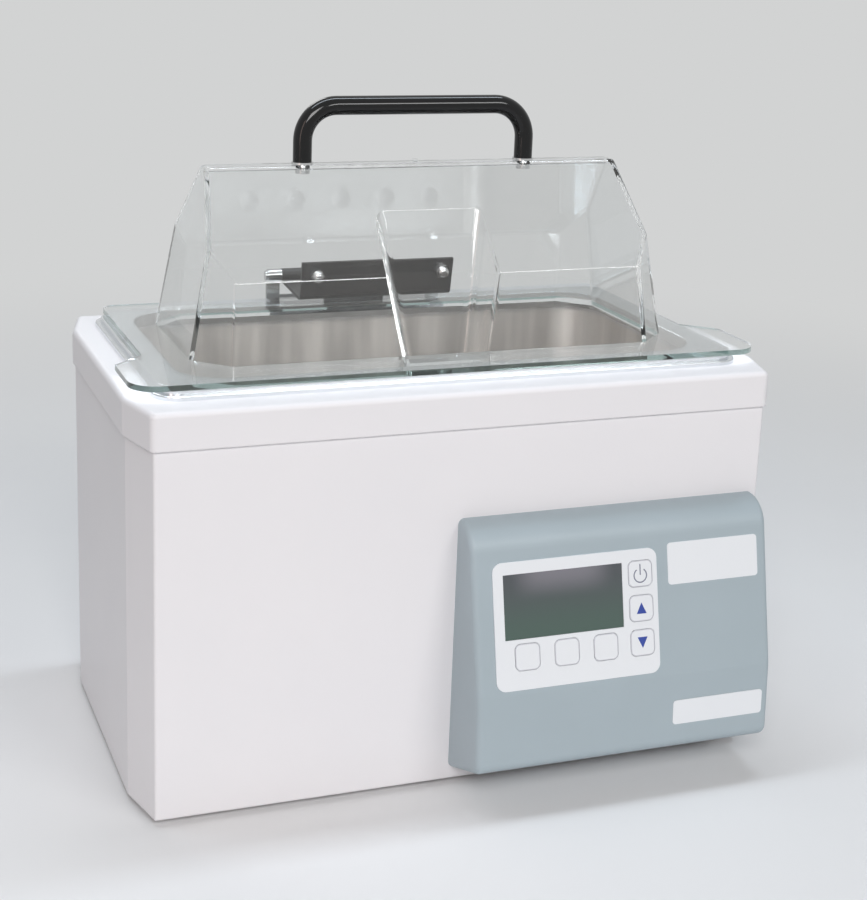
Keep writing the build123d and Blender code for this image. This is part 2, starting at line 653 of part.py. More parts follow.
# Diffuser tray: a perforated shelf on two folded legs that stands on the tank's floor
with BuildPart() as diffuser_tray:
    with BuildSketch(Plane.YZ.offset(-TRAY_W / 2)):
        with Locations((TANK_Y, TANK_FLOOR_Z + TRAY_H / 2)):
            Rectangle(TRAY_D, TRAY_H)
    extrude(amount=TRAY_W)
    fillet(diffuser_tray.edges().filter_by(Axis.X).group_by(Axis.Z)[-1], radius=TRAY_BEND_R)
    with BuildSketch(Plane.YZ.offset(-TRAY_W / 2)):
        with Locations((TANK_Y, TANK_FLOOR_Z + (TRAY_H - TANK_SHEET) / 2)):
            Rectangle(TRAY_D - 2 * TANK_SHEET, TRAY_H - TANK_SHEET)
    extrude(amount=TRAY_W, mode=Mode.SUBTRACT)
    with BuildSketch(Plane((0, TANK_Y, TANK_FLOOR_Z + TRAY_H))):
        with GridLocations(*TRAY_HOLE_PITCH, *TRAY_HOLES):
            Circle(TRAY_HOLE_R)
    extrude(amount=-2 * TANK_SHEET, mode=Mode.SUBTRACT)
keep(diffuser_tray, "diffuser_tray")

# Power board on four stand-offs, with its terminals, transformer, relay and capacitors
with BuildPart() as power_board:
    board_at = Plane((POWER_BOARD_AT[0], BODY_Y + POWER_BOARD_AT[1], BENCH_Z))
    with BuildSketch(board_at):
        with GridLocations(POWER_BOARD[0] - 2 * STANDOFF_INSET,
                           POWER_BOARD[1] - 2 * STANDOFF_INSET, 2, 2):
            RegularPolygon(STANDOFF_R, 6)
    extrude(amount=STANDOFF_H)
    with BuildSketch(board_at.offset(STANDOFF_H)):
        Rectangle(*POWER_BOARD)
    extrude(amount=BOARD_T)
    board_top = board_at.offset(STANDOFF_H + BOARD_T)
    for (width, depth, height), places in (
        (TRANSFORMER, [TRANSFORMER_AT]),
        (BOARD_RELAY, BOARD_RELAYS_AT),
        (TERMINALS, [TERMINALS_AT]),
    ):
        with BuildSketch(board_top):
            with Locations(*places):
                Rectangle(width, depth)
        extrude(amount=height)
    with BuildSketch(board_top):
        with Locations(*CAPACITORS_AT):
            Circle(CAPACITOR_R)
    extrude(amount=CAPACITOR_H)
keep(power_board, "power_board")

# Solid-state relay on its finned heat sink
with BuildPart() as relay_heat_sink:
    sink_at = Plane((HEAT_SINK_AT[0], BODY_Y + HEAT_SINK_AT[1], BENCH_Z))
    fin_pitch = (HEAT_SINK[0] - HEAT_SINK_FIN_T) / (HEAT_SINK_FINS - 1)
    with BuildSketch(sink_at):
        with GridLocations(fin_pitch, 0, HEAT_SINK_FINS, 1):
            Rectangle(HEAT_SINK_FIN_T, HEAT_SINK[1])
    extrude(amount=HEAT_SINK_FIN_H)
    with BuildSketch(sink_at.offset(HEAT_SINK_FIN_H)):
        Rectangle(*HEAT_SINK)
    extrude(amount=HEAT_SINK_BASE)
keep(relay_heat_sink, "relay_heat_sink")

with BuildPart() as solid_state_relay:
    relay_at = sink_at.offset(HEAT_SINK_FIN_H + HEAT_SINK_BASE)
    with BuildSketch(relay_at):
        RectangleRounded(RELAY[0], RELAY[1], RELAY_CORNER)
    extrude(amount=RELAY[2])
    # the four terminals sit in notches at the corners
    terminal_spread = (RELAY[0] - RELAY_NOTCH, RELAY[1] - RELAY_NOTCH)
    with BuildSketch(relay_at.offset(RELAY[2])):
        with GridLocations(*terminal_spread, 2, 2):
            Rectangle(RELAY_NOTCH, RELAY_NOTCH)
    extrude(amount=-RELAY_NOTCH_DEEP, mode=Mode.SUBTRACT)
    with BuildSketch(relay_at.offset(RELAY[2] - RELAY_NOTCH_DEEP)):
        with GridLocations(*terminal_spread, 2, 2):
            Circle(RELAY_TERMINAL_R)
    extrude(amount=RELAY_TERMINAL_H)
keep(solid_state_relay, "solid_state_relay")

# Grommet where the control lead passes through the body's front
with BuildPart() as cable_grommet:
    for face_y, radius, thick in (
        (FRONT_Y, GROMMET_R, GROMMET_FLANGE),
        (FRONT_Y + SHEET, LEAD_HOLE_R, SHEET),
        (FRONT_Y + SHEET + GROMMET_FLANGE, GROMMET_R, GROMMET_FLANGE),
    ):
        with BuildSketch(facing_front(face_y)):
            with Locations((LEAD_X, LEAD_Z)):
                Circle(radius)
        extrude(amount=thick)
    with BuildSketch(facing_front(FRONT_Y)):
        with Locations((LEAD_X, LEAD_Z)):
            Circle(GROMMET_BORE_R)
    extrude(amount=4 * GROMMET_FLANGE, both=True, mode=Mode.SUBTRACT)
keep(cable_grommet, "cable_grommet")


def reach_at(up):
    """How far the sloping face stands off the body at a height above the body's lower edge."""
    return CREASE_REACH - (up - CREASE_UP) * tan(radians(SLOPE))


def housing_form(inset=0.0, behind=0.0, edge_r=0.0):
    """The control housing's wedge, drawn in by inset and carried on behind the body's front."""
    underside = (FRONT_UNDER - HOUSING_LOW) / HOUSING_REACH
    draft = tan(radians(HOUSING_DRAFT))
    with BuildPart() as form:
        with BuildSketch(Plane.YZ.offset(HOUSING_LEFT - BOSS_SIDE)):
            with BuildLine():
                front = FilletPolyline(
                    (FRONT_Y + behind, FOOT_GAP + HOUSING_LOW - behind * underside),
                    (FRONT_Y - HOUSING_REACH, FOOT_GAP + FRONT_UNDER),
                    (FRONT_Y - CREASE_REACH, FOOT_GAP + CREASE_UP),
                    (FRONT_Y - reach_at(HOUSING_TOP), FOOT_GAP + HOUSING_TOP),
                    (FRONT_Y + behind, FOOT_GAP + HOUSING_TOP),
                    radius=[UNDER_R, CREASE_R, SHOULDER_R],
                )
                Line(front @ 1, front @ 0)
            make_face()
            if inset:
                offset(amount=-inset, kind=Kind.INTERSECTION)
        extrude(amount=HOUSING_W + 2 * BOSS_SIDE)
        with BuildSketch(Plane((housing_mid, FRONT_Y, 0))):
            back_half = HOUSING_W / 2 + 2 * behind * draft - inset
            tip_half = HOUSING_W / 2 - 2 * HOUSING_REACH * draft - inset
            Polygon(
                (-back_half, 2 * behind),
                (back_half, 2 * behind),
                (tip_half, -2 * HOUSING_REACH),
                (-tip_half, -2 * HOUSING_REACH),
            )
        extrude(amount=BODY_H, mode=Mode.INTERSECT)
        if edge_r:
            sides = form.faces().sort_by(Axis.X)
            rounded = (sides[0].edges() + sides[-1].edges()).filter_by(
                lambda edge: edge.center().Y < FRONT_Y + behind - 1)
            fillet(rounded, radius=edge_r)
    return form.part


# Control housing: a moulded wedge, open at the back, with bosses and board posts inside
face_plane = Plane(
    origin=(KEYPAD_X, FRONT_Y - reach_at(KEYPAD_UP), FOOT_GAP + KEYPAD_UP),
    x_dir=(1, 0, 0),
    z_dir=(0, -cos(radians(SLOPE)), sin(radians(SLOPE))),
)
housing_outside = housing_form(edge_r=SIDE_EDGE_R)
housing_inside = housing_form(inset=HOUSING_WALL, behind=BOSS_SIDE)
with BuildPart() as housing_bosses:
    with BuildSketch(facing_front(FRONT_Y)):
        with Locations((housing_mid, boss_middle)):
            with GridLocations(*boss_spread, 2, 2):
                Circle(BOSS_R)
    extrude(amount=HOUSING_REACH)
    add(housing_outside, mode=Mode.INTERSECT)

with BuildPart() as control_housing:
    add(housing_outside)
    add(housing_inside, mode=Mode.SUBTRACT)
    add(housing_bosses.part)
    with BuildSketch(facing_front(FRONT_Y)):
        with Locations((housing_mid, boss_middle)):
            with GridLocations(*boss_spread, 2, 2):
                Circle(BOSS_SCREW_R)
    extrude(amount=BOSS_SCREW_DEEP, mode=Mode.SUBTRACT)
    with BuildSketch(face_plane.offset(-BOARD_DEPTH)):
        with GridLocations(*BOARD_POSTS, 2, 2):
            Circle(BOARD_POST_R)
    extrude(amount=BOARD_DEPTH - HOUSING_WALL / 2)
    # openings for the display and the keys
    with BuildSketch(face_plane):
        with Locations(WINDOW_AT):
            Rectangle(DISPLAY_W, DISPLAY_H)
        with Locations(*KEYS.values()):
            Circle(STEM_R + KEY_GAP)
    extrude(amount=-2 * HOUSING_WALL, mode=Mode.SUBTRACT)
    with BuildSketch(face_plane):
        with Locations(*KEYS.values()):
            Rectangle(KEY_FLANGE + 2 * KEY_GAP, KEY_FLANGE + 2 * KEY_GAP)
    extrude(amount=-KEY_POCKET, mode=Mode.SUBTRACT)
keep(control_housing, "control_housing")

with BuildPart() as housing_screws:
    with BuildSketch(facing_front(FRONT_Y + SHEET)):
        with Locations((housing_mid, boss_middle)):
            with GridLocations(*boss_spread, 2, 2):
                Circle(PANEL_SCREW_HEAD_R)
    extrude(amount=-PANEL_SCREW_HEAD_T)
    with BuildSketch(facing_front(FRONT_Y + SHEET)):
        with Locations((housing_mid, boss_middle)):
            with GridLocations(*boss_spread, 2, 2):
                Circle(BOSS_SCREW_R - THREAD_PLAY)
    extrude(amount=SHEET + BOSS_SCREW_DEEP - BOSS_SCREW_SHORT)
keep(housing_screws, "housing_screws")

# Keypad overlay: a thin sheet with a window and six openings
with BuildPart() as keypad_overlay:
    with BuildSketch(face_plane):
        RectangleRounded(KEYPAD_W, KEYPAD_H, KEYPAD_R)
        with Locations(WINDOW_AT):
            Rectangle(WINDOW_W, WINDOW_H, mode=Mode.SUBTRACT)
        with Locations(*KEYS.values()):
            RectangleRounded(KEY_SIZE + 2 * KEY_GAP, KEY_SIZE + 2 * KEY_GAP,
                             KEY_CORNER_R + KEY_GAP, mode=Mode.SUBTRACT)
    extrude(amount=KEYPAD_T)
keep(keypad_overlay, "keypad_overlay")

with BuildPart() as display_window:
    with BuildSketch(face_plane):
        with Locations(WINDOW_AT):
            Rectangle(WINDOW_W - 2 * WINDOW_PLAY, WINDOW_H - 2 * WINDOW_PLAY)
    extrude(amount=WINDOW_PANE_T)
keep(display_window, "display_window")

# Keys: a cap level with the overlay, a flange that keeps it in and a stem to its switch
for name, place in KEYS.items():
    with BuildPart() as key:
        with BuildSketch(face_plane.offset(-KEY_FLANGE_GAP)):
            with Locations(place):
                RectangleRounded(KEY_FLANGE, KEY_FLANGE, KEY_CORNER_R)
        extrude(amount=-KEY_FLANGE_T)
        with BuildSketch(face_plane.offset(-KEY_FLANGE_GAP)):
            with Locations(place):
                RectangleRounded(KEY_SIZE, KEY_SIZE, KEY_CORNER_R)
        extrude(amount=KEY_FLANGE_GAP + KEYPAD_T + KEY_PROUD)
        with BuildSketch(face_plane.offset(-KEY_FLANGE_GAP)):
            with Locations(place):
                Circle(STEM_R)
        extrude(amount=KEY_FLANGE_GAP - STEM_END)
    keep(key, name)

# Behind the face: display, control board and the six switches
with BuildPart() as display_module:
    with BuildSketch(face_plane.offset(-HOUSING_WALL)):
        with Locations(WINDOW_AT):
            Rectangle(DISPLAY_MODULE[0], DISPLAY_MODULE[1])
    extrude(amount=-DISPLAY_MODULE[2])
    with BuildSketch(face_plane.offset(-HOUSING_WALL)):
        header_up = WINDOW_AT[1] + DISPLAY_MODULE[1] / 2 - DISPLAY_HEADER_IN
        with Locations((WINDOW_AT[0], header_up)):
            Rectangle(*DISPLAY_HEADER)
    extrude(amount=HOUSING_WALL - BOARD_DEPTH)
keep(display_module, "display_module")

with BuildPart() as control_board:
    with BuildSketch(face_plane.offset(-BOARD_DEPTH)):
        Rectangle(*CONTROL_BOARD)
        with GridLocations(*BOARD_POSTS, 2, 2):
            Circle(BOSS_SCREW_R + SCREW_PLAY, mode=Mode.SUBTRACT)
    extrude(amount=-BOARD_T)
keep(control_board, "control_board")

with BuildPart() as key_switches:
    with BuildSketch(face_plane.offset(-BOARD_DEPTH)):
        with Locations(*KEYS.values()):
            Rectangle(SWITCH_SIZE, SWITCH_SIZE)
    extrude(amount=SWITCH_H)
    with BuildSketch(face_plane.offset(-BOARD_DEPTH)):
        with Locations(*KEYS.values()):
            Circle(PLUNGER_R)
    extrude(amount=BOARD_DEPTH - STEM_END - 2 * KEY_TRAVEL)
keep(key_switches, "key_switches")

# Two blank plates on the housing's right side
below_crease = (HOUSING_REACH - CREASE_REACH) / (CREASE_UP - FRONT_UNDER)
with BuildPart() as upper_label:
    with BuildSketch(face_plane):
        with Locations((UPPER_LABEL[0] - KEYPAD_X, UPPER_LABEL[1])):
            RectangleRounded(UPPER_LABEL[2], UPPER_LABEL[3], LABEL_R)
    extrude(amount=LABEL_T)
keep(upper_label, "upper_label")

with BuildPart() as lower_label:
    label_reach = HOUSING_REACH - (LOWER_LABEL[1] - FRONT_UNDER) * below_crease
    label_plane = Plane(
        origin=(LOWER_LABEL[0], FRONT_Y - label_reach, FOOT_GAP + LOWER_LABEL[1]),
        x_dir=(1, 0, 0),
        z_dir=(0, -1, below_crease),
    )
    with BuildSketch(label_plane):
        RectangleRounded(LOWER_LABEL[2], LOWER_LABEL[3], LABEL_R)
    extrude(amount=LABEL_T)
keep(lower_label, "lower_label")


def deep_in_pocket(edge):
    """True for the upright lines where the pocket's back turns into its sides."""
    middle = edge.center() - Vector(0, TANK_Y, LID_Z)
    beside = abs(middle.X) < POCKET_HALF_HIGH
    return beside and POCKET_BACK_LOW < middle.Y < 0 and middle.Z < KNEE_Z


def dome_form(z, inset=0.0, notch=None, bend_r=0.0):
    """The lid's gable dome from height z upwards, drawn in by inset, notched and rounded."""
    half_w, half_d = DOME_W / 2, DOME_D / 2
    knee_y = half_d - KNEE_Z * LEAN
    roof_fall = (RIDGE_Z - KNEE_Z) / (knee_y - RIDGE_FLAT / 2)
    eave_y = half_d + RIDGE_FLAT
    eave_z = RIDGE_Z - (eave_y - RIDGE_FLAT / 2) * roof_fall
    with BuildPart() as form:
        with BuildSketch(Plane((0, TANK_Y, LID_Z + z))):
            Polygon(*four_ways([(half_w - DOME_FACET, half_d), (half_w, half_d - DOME_FACET)]))
            offset(amount=-z * LEAN - inset / cos(radians(DRAFT)), kind=Kind.INTERSECTION)
        extrude(amount=RIDGE_Z - z, taper=DRAFT)
        with BuildSketch(Plane((-DOME_W, TANK_Y, LID_Z), x_dir=(0, 1, 0), z_dir=(1, 0, 0))):
            Polygon(
                (-RIDGE_FLAT / 2, RIDGE_Z),
                (RIDGE_FLAT / 2, RIDGE_Z),
                (eave_y, eave_z),
                (eave_y, -RIDGE_Z),
                (-eave_y, -RIDGE_Z),
                (-eave_y, eave_z),
            )
            if inset:
                offset(amount=-inset, kind=Kind.INTERSECTION)
        extrude(amount=2 * DOME_W, mode=Mode.INTERSECT)
        if notch:
            add(notch, mode=Mode.SUBTRACT)
        if bend_r:
            bends = form.edges().filter_by(lambda edge: edge.center().Z > LID_Z + z + 1)
            fillet(bends.filter_by(deep_in_pocket, reverse=True), radius=bend_r)
    return form.part


def pocket_form(grow, low, high, front):
    """The pocket's hollow between two heights, open to the front and grown all round."""
    with BuildPart() as form:
        for z in (low, high):
            part_way = (z - POCKET_FLOOR) / (POCKET_TOP - POCKET_FLOOR)
            back = POCKET_BACK_LOW + part_way * (POCKET_BACK_HIGH - POCKET_BACK_LOW)
            half = POCKET_HALF_LOW + part_way * (POCKET_HALF_HIGH - POCKET_HALF_LOW)
            front_half = half + POCKET_FLARE * (back - front)
            with BuildSketch(Plane((0, TANK_Y, LID_Z + z))) as section:
                Polygon((-half, back), (-front_half, front), (front_half, front), (half, back))
                fillet(section.vertices().group_by(Axis.Y)[-1], radius=POCKET_BEND_R)
                if grow:
                    offset(amount=grow, kind=Kind.INTERSECTION)
        loft(ruled=True)
    return form.part


# Lid: one clear moulding with a gable dome, a pocket in its front and a flange with two ears
dome_front = -DOME_D / 2
past_front = dome_front - 4 * LID_WALL
past_roof = POCKET_TOP + 4 * LID_WALL
pocket_hollow = pocket_form(0, -2 * LID_WALL, past_roof, past_front)
dome_outside = dome_form(-LID_WALL, notch=pocket_hollow, bend_r=DOME_BEND_R)
dome_inside = dome_form(-2 * LID_WALL, inset=LID_WALL)
pocket_cup_hollow = pocket_form(0, POCKET_FLOOR, 1, dome_front)
pocket_cup = pocket_form(LID_WALL, POCKET_FLOOR - LID_WALL, 0, dome_front)
pocket_wall = pocket_form(LID_WALL, POCKET_FLOOR - LID_WALL, past_roof, past_front)
with BuildPart() as lid_cavity:
    add(dome_inside)
    add(pocket_wall, mode=Mode.SUBTRACT)

rear_wall = Plane(
    origin=(0, TANK_Y + DOME_D / 2 - BOLT_UP * LEAN, LID_Z + BOLT_UP),
    x_dir=(-1, 0, 0),
    z_dir=(0, cos(radians(DRAFT)), sin(radians(DRAFT))),
)
through_wall = Axis(rear_wall.origin, rear_wall.z_dir)
with BuildPart() as lid_cover:
    with BuildSketch(Plane((0, TANK_Y, LID_Z - LID_WALL))) as flange:
        Polygon(
            (-FLANGE_W / 2, FLANGE_REAR),
            (-FLANGE_W / 2, -EAR_START),
            (-EAR_REACH, -EAR_FULL),
            (-EAR_REACH, -FLANGE_FRONT),
            (EAR_REACH, -FLANGE_FRONT),
            (EAR_REACH, -EAR_FULL),
            (FLANGE_W / 2, -EAR_START),
            (FLANGE_W / 2, FLANGE_REAR),
        )
        fillet(flange.vertices().group_by(Axis.Y)[-1], radius=FLANGE_REAR_R)
        fillet(flange.vertices().group_by(Axis.Y)[0], radius=EAR_R)
    extrude(amount=LID_WALL)
    add(dome_outside)
    add(pocket_cup)
    add(lid_cavity.part, mode=Mode.SUBTRACT)
    add(pocket_cup_hollow, mode=Mode.SUBTRACT)
    # moulding mark and the holes for the handle and the hinge
    with BuildSketch(Plane((0, TANK_Y, LID_Z + RIDGE_Z))):
        Circle(GATE_R)
    extrude(amount=GATE_H)
    with BuildSketch(Plane((0, TANK_Y, LID_Z + RIDGE_Z))):
        with GridLocations(HANDLE_LEGS, 0, 2, 1):
            Circle(HANDLE_SCREW_R + SCREW_PLAY)
    extrude(amount=-2 * LID_WALL, mode=Mode.SUBTRACT)
    with BuildSketch(rear_wall):
        with GridLocations(2 * BOLT_HALF, 0, 2, 1):
            Circle(BOLT_R + SCREW_PLAY)
    extrude(amount=-2 * LID_WALL, mode=Mode.SUBTRACT)
keep(lid_cover, "lid_cover")

# Handle: a round bar bent to a U, on two washers
ridge_plane = Plane((0, TANK_Y, LID_Z + RIDGE_Z))
with BuildPart() as lid_handle:
    bar_z = HANDLE_RISE - HANDLE_D / 2
    with BuildLine(Plane((0, TANK_Y, LID_Z + RIDGE_Z), x_dir=(1, 0, 0), z_dir=(0, -1, 0))) as bar:
        FilletPolyline(
            (-HANDLE_LEGS / 2, WASHER_T),
            (-HANDLE_LEGS / 2, bar_z),
            (HANDLE_LEGS / 2, bar_z),
            (HANDLE_LEGS / 2, WASHER_T),
            radius=HANDLE_BEND,
        )
    with BuildSketch(ridge_plane.offset(WASHER_T)):
        with Locations((-HANDLE_LEGS / 2, 0)):
            Circle(HANDLE_D / 2)
    sweep()
    with BuildSketch(ridge_plane.offset(WASHER_T)):
        with GridLocations(HANDLE_LEGS, 0, 2, 1):
            Circle(HANDLE_SCREW_R + THREAD_PLAY)
    extrude(amount=HANDLE_SCREW_DEEP, mode=Mode.SUBTRACT)
keep(lid_handle, "lid_handle")

with BuildPart() as handle_washers:
    with BuildSketch(ridge_plane):
        with GridLocations(HANDLE_LEGS, 0, 2, 1):
            Circle(WASHER_R)
            Circle(HANDLE_SCREW_R + SCREW_PLAY, mode=Mode.SUBTRACT)
    extrude(amount=WASHER_T)
keep(handle_washers, "handle_washers")

with BuildPart() as handle_screws:
    with BuildSketch(ridge_plane.offset(-LID_WALL)):
        with GridLocations(HANDLE_LEGS, 0, 2, 1):
            Circle(HANDLE_SCREW_HEAD_R)
    extrude(amount=-HANDLE_SCREW_HEAD_T)
    with BuildSketch(ridge_plane.offset(-LID_WALL)):
        with GridLocations(HANDLE_LEGS, 0, 2, 1):
            Circle(HANDLE_SCREW_R)
    extrude(amount=LID_WALL + WASHER_T + HANDLE_SCREW_DEEP - HANDLE_SCREW_SHORT)
keep(handle_screws, "handle_screws")

# Hinge: the lid's leaf is bolted to the dome's rear wall and reaches back to the pin
hinge_side = Plane((0, TANK_Y, LID_Z), x_dir=(0, 1, 0), z_dir=(1, 0, 0))
half_sheet = HINGE_SHEET / 2


def outside_rear_wall(up):
    """The middle of the leaf's sheet where it lies on the rear wall, as depth and height."""
    depth = DOME_D / 2 - up * LEAN + half_sheet * cos(radians(DRAFT))
    return (depth, up + half_sheet * sin(radians(DRAFT)))


with BuildPart() as hinge_lid_plate:
    with BuildSketch(hinge_side.offset(-LEAF_HALF)):
        with BuildLine():
            FilletPolyline(
                outside_rear_wall(LEAF_HIGH),
                outside_rear_wall(LEAF_LOW),
                (HINGE_BEHIND, HINGE_UP - KNUCKLE_R + half_sheet),
                radius=LEAF_BEND_R,
            )
        trace(line_width=HINGE_SHEET)
        with Locations((HINGE_BEHIND, HINGE_UP)):
            Circle(KNUCKLE_R)
    extrude(amount=2 * LEAF_HALF)
    # room for the middle knuckle of the fixed plate
    with BuildSketch(hinge_side.offset(-MIDDLE_KNUCKLE - KNUCKLE_GAP)):
        with Locations((HINGE_BEHIND, HINGE_UP)):
            Rectangle(KNUCKLE_ROOM, KNUCKLE_ROOM)
    extrude(amount=2 * (MIDDLE_KNUCKLE + KNUCKLE_GAP), mode=Mode.SUBTRACT)
    with BuildSketch(hinge_side.offset(-LEAF_HALF)):
        with Locations((HINGE_BEHIND, HINGE_UP)):
            Circle(PIN_R + PIN_PLAY)
    extrude(amount=2 * LEAF_HALF, mode=Mode.SUBTRACT)
    with BuildSketch(rear_wall):
        with GridLocations(2 * BOLT_HALF, 0, 2, 1):
            Circle(BOLT_R + SCREW_PLAY)
    extrude(amount=2 * HINGE_SHEET, mode=Mode.SUBTRACT)
keep(hinge_lid_plate, "hinge_lid_plate")

with BuildPart() as hinge_bolts:
    with BuildSketch(rear_wall.offset(HINGE_SHEET)):
        with GridLocations(2 * BOLT_HALF, 0, 2, 1):
            Circle(BOLT_HEAD_R)
    extrude(amount=BOLT_HEAD_T)
    chamfer(hinge_bolts.edges().group_by(through_wall)[-1], length=HEAD_BEVEL)
    with BuildSketch(rear_wall.offset(HINGE_SHEET)):
        with GridLocations(2 * BOLT_HALF, 0, 2, 1):
            Circle(BOLT_R)
    extrude(amount=BOLT_SHORT - HINGE_SHEET - LID_WALL - NUT_H)
keep(hinge_bolts, "hinge_bolts")

# Acorn nuts on the inside of the rear wall
with BuildPart() as hinge_nuts:
    with BuildSketch(rear_wall.offset(-LID_WALL)):
        with GridLocations(2 * BOLT_HALF, 0, 2, 1):
            RegularPolygon(NUT_R, 6)
    extrude(amount=-NUT_H / 2)
    with BuildSketch(rear_wall.offset(-LID_WALL)):
        with GridLocations(2 * BOLT_HALF, 0, 2, 1):
            Circle(NUT_DOME_R)
    extrude(amount=-NUT_H)
    fillet(hinge_nuts.edges().group_by(through_wall)[0], radius=NUT_DOME_BEND)
    with BuildSketch(rear_wall.offset(-LID_WALL)):
        with GridLocations(2 * BOLT_HALF, 0, 2, 1):
            Circle(BOLT_R + THREAD_PLAY)
    extrude(amount=NUT_END - NUT_H, mode=Mode.SUBTRACT)
keep(hinge_nuts, "hinge_nuts")

# Fixed hinge plate: a foot screwed to the deck and three knuckles
foot_up = DECK_Z - LID_Z + half_sheet
with BuildPart() as hinge_base_plate:
    with BuildSketch(hinge_side.offset(-BARREL_HALF)):
        with BuildLine():
            tab_y = HINGE_BEHIND + KNUCKLE_R - half_sheet
            FilletPolyline(
                (HINGE_FOOT_FRONT, foot_up),
                (tab_y, foot_up),
                (tab_y, HINGE_UP),
                radius=TAB_BEND_R,
            )
        trace(line_width=HINGE_SHEET)
        with Locations((HINGE_BEHIND, HINGE_UP)):
            Circle(KNUCKLE_R)
    extrude(amount=2 * BARREL_HALF)
    # the lid's knuckles turn in these two gaps
    gap_w = LEAF_HALF - MIDDLE_KNUCKLE + KNUCKLE_GAP
    gap_low = DECK_Z - LID_Z + HINGE_TAB_H
    gap_high = HINGE_UP + KNUCKLE_ROOM / 2
    for left in (-LEAF_HALF - KNUCKLE_GAP, MIDDLE_KNUCKLE):
        with BuildSketch(hinge_side.offset(left)):
            with Locations((HINGE_BEHIND, (gap_low + gap_high) / 2)):
                Rectangle(KNUCKLE_ROOM, gap_high - gap_low)
        extrude(amount=gap_w, mode=Mode.SUBTRACT)
    with BuildSketch(hinge_side.offset(-BARREL_HALF)):
        with Locations((HINGE_BEHIND, HINGE_UP)):
            Circle(PIN_R + PIN_PLAY)
    extrude(amount=2 * BARREL_HALF, mode=Mode.SUBTRACT)
    with BuildSketch(Plane((0, TANK_Y + BASE_SCREW_Y, DECK_Z))):
        with GridLocations(2 * BASE_SCREW_X, 0, 2, 1):
            Circle(PANEL_SCREW_R + SCREW_PLAY)
    extrude(amount=HINGE_SHEET, mode=Mode.SUBTRACT)
keep(hinge_base_plate, "hinge_base_plate")

with BuildPart() as hinge_base_screws:
    screw_plane = Plane((0, TANK_Y + BASE_SCREW_Y, DECK_Z + HINGE_SHEET))
    with BuildSketch(screw_plane):
        with GridLocations(2 * BASE_SCREW_X, 0, 2, 1):
            Circle(PANEL_SCREW_HEAD_R)
    extrude(amount=PANEL_SCREW_HEAD_T)
    chamfer(hinge_base_screws.edges().group_by(Axis.Z)[-1], length=HEAD_BEVEL)
    with BuildSketch(screw_plane):
        with GridLocations(2 * BASE_SCREW_X, 0, 2, 1):
            Circle(PANEL_SCREW_R)
    extrude(amount=-BASE_SCREW_LENGTH)
keep(hinge_base_screws, "hinge_base_screws")

with BuildPart() as hinge_pin:
    with BuildSketch(hinge_side.offset(-BARREL_HALF)):
        with Locations((HINGE_BEHIND, HINGE_UP)):
            Circle(PIN_R)
    extrude(amount=2 * BARREL_HALF)
    for end in (-BARREL_HALF - PIN_HEAD_T, BARREL_HALF):
        with BuildSketch(hinge_side.offset(end)):
            with Locations((HINGE_BEHIND, HINGE_UP)):
                Circle(PIN_HEAD_R)
        extrude(amount=PIN_HEAD_T)
keep(hinge_pin, "hinge_pin")
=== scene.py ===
# %% [markdown]
# # A laboratory water bath
# The bath is a white sheet-steel box round a stainless tank. A clear moulded lid stands on the
# tank's rim, and a grey moulded wedge on the front carries the keypad. The shapes come from a
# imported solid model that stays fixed. This file gives every surface its finish, adds what is
# printed on the keys, and sets the studio, the lamps and the camera.

# %% Load the fixed frame
import math

import bmesh
import bpy
from mathutils import Matrix, Vector


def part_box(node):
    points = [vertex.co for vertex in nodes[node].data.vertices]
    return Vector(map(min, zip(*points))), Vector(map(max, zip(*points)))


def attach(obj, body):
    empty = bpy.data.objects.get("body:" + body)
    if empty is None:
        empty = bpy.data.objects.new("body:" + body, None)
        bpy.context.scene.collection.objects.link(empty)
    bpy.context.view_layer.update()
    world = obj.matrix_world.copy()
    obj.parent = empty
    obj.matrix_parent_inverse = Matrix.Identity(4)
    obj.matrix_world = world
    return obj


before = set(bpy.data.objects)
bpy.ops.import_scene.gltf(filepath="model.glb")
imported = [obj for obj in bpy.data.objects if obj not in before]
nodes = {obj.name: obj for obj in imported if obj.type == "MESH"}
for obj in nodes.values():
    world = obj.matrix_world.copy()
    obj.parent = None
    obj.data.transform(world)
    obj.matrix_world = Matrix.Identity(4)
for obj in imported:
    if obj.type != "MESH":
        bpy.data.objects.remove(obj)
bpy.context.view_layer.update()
MM = 0.001

# %% [markdown]
# ## Shader maths as Python
# A material is a graph of small nodes, and a formula of five steps would take ten lines to wire
# by hand. A wrapper round one socket with Python's operators on it keeps formulas readable.
# `0.4 + 0.1 * cloud` then adds its Math nodes by itself. Colours never go through Math nodes,
# which would turn them grey: `blend` mixes them with a Mix node.

# %% Wrap a socket
class Wire:
    """One output socket of a material's nodes, with Python's operators on it."""

    def __init__(self, tree, socket=None):
        self.tree = tree
        self.socket = socket

    def node(self, kind, settings=None, sockets=None, output=0):
        """Adds a node, with its settings set before its sockets, and returns one output."""
        made = self.tree.nodes.new(kind)
        for name, value in (settings or {}).items():
            setattr(made, name, value)
        for name, value in (sockets or {}).items():
            if isinstance(value, Wire):
                self.tree.links.new(value.socket, made.inputs[name])
            else:
                made.inputs[name].default_value = value
        return Wire(self.tree, made.outputs[output] if made.outputs else None)

    def maths(self, operation, first, second):
        return self.node("ShaderNodeMath", {"operation": operation}, {0: first, 1: second})

    def __add__(self, other):
        return self.maths("ADD", self, other)

    def __radd__(self, other):
        return self.maths("ADD", other, self)

    def __sub__(self, other):
        return self.maths("SUBTRACT", self, other)

    def __rsub__(self, other):
        return self.maths("SUBTRACT", other, self)

    def __mul__(self, other):
        return self.maths("MULTIPLY", self, other)

    def __rmul__(self, other):
        return self.maths("MULTIPLY", other, self)


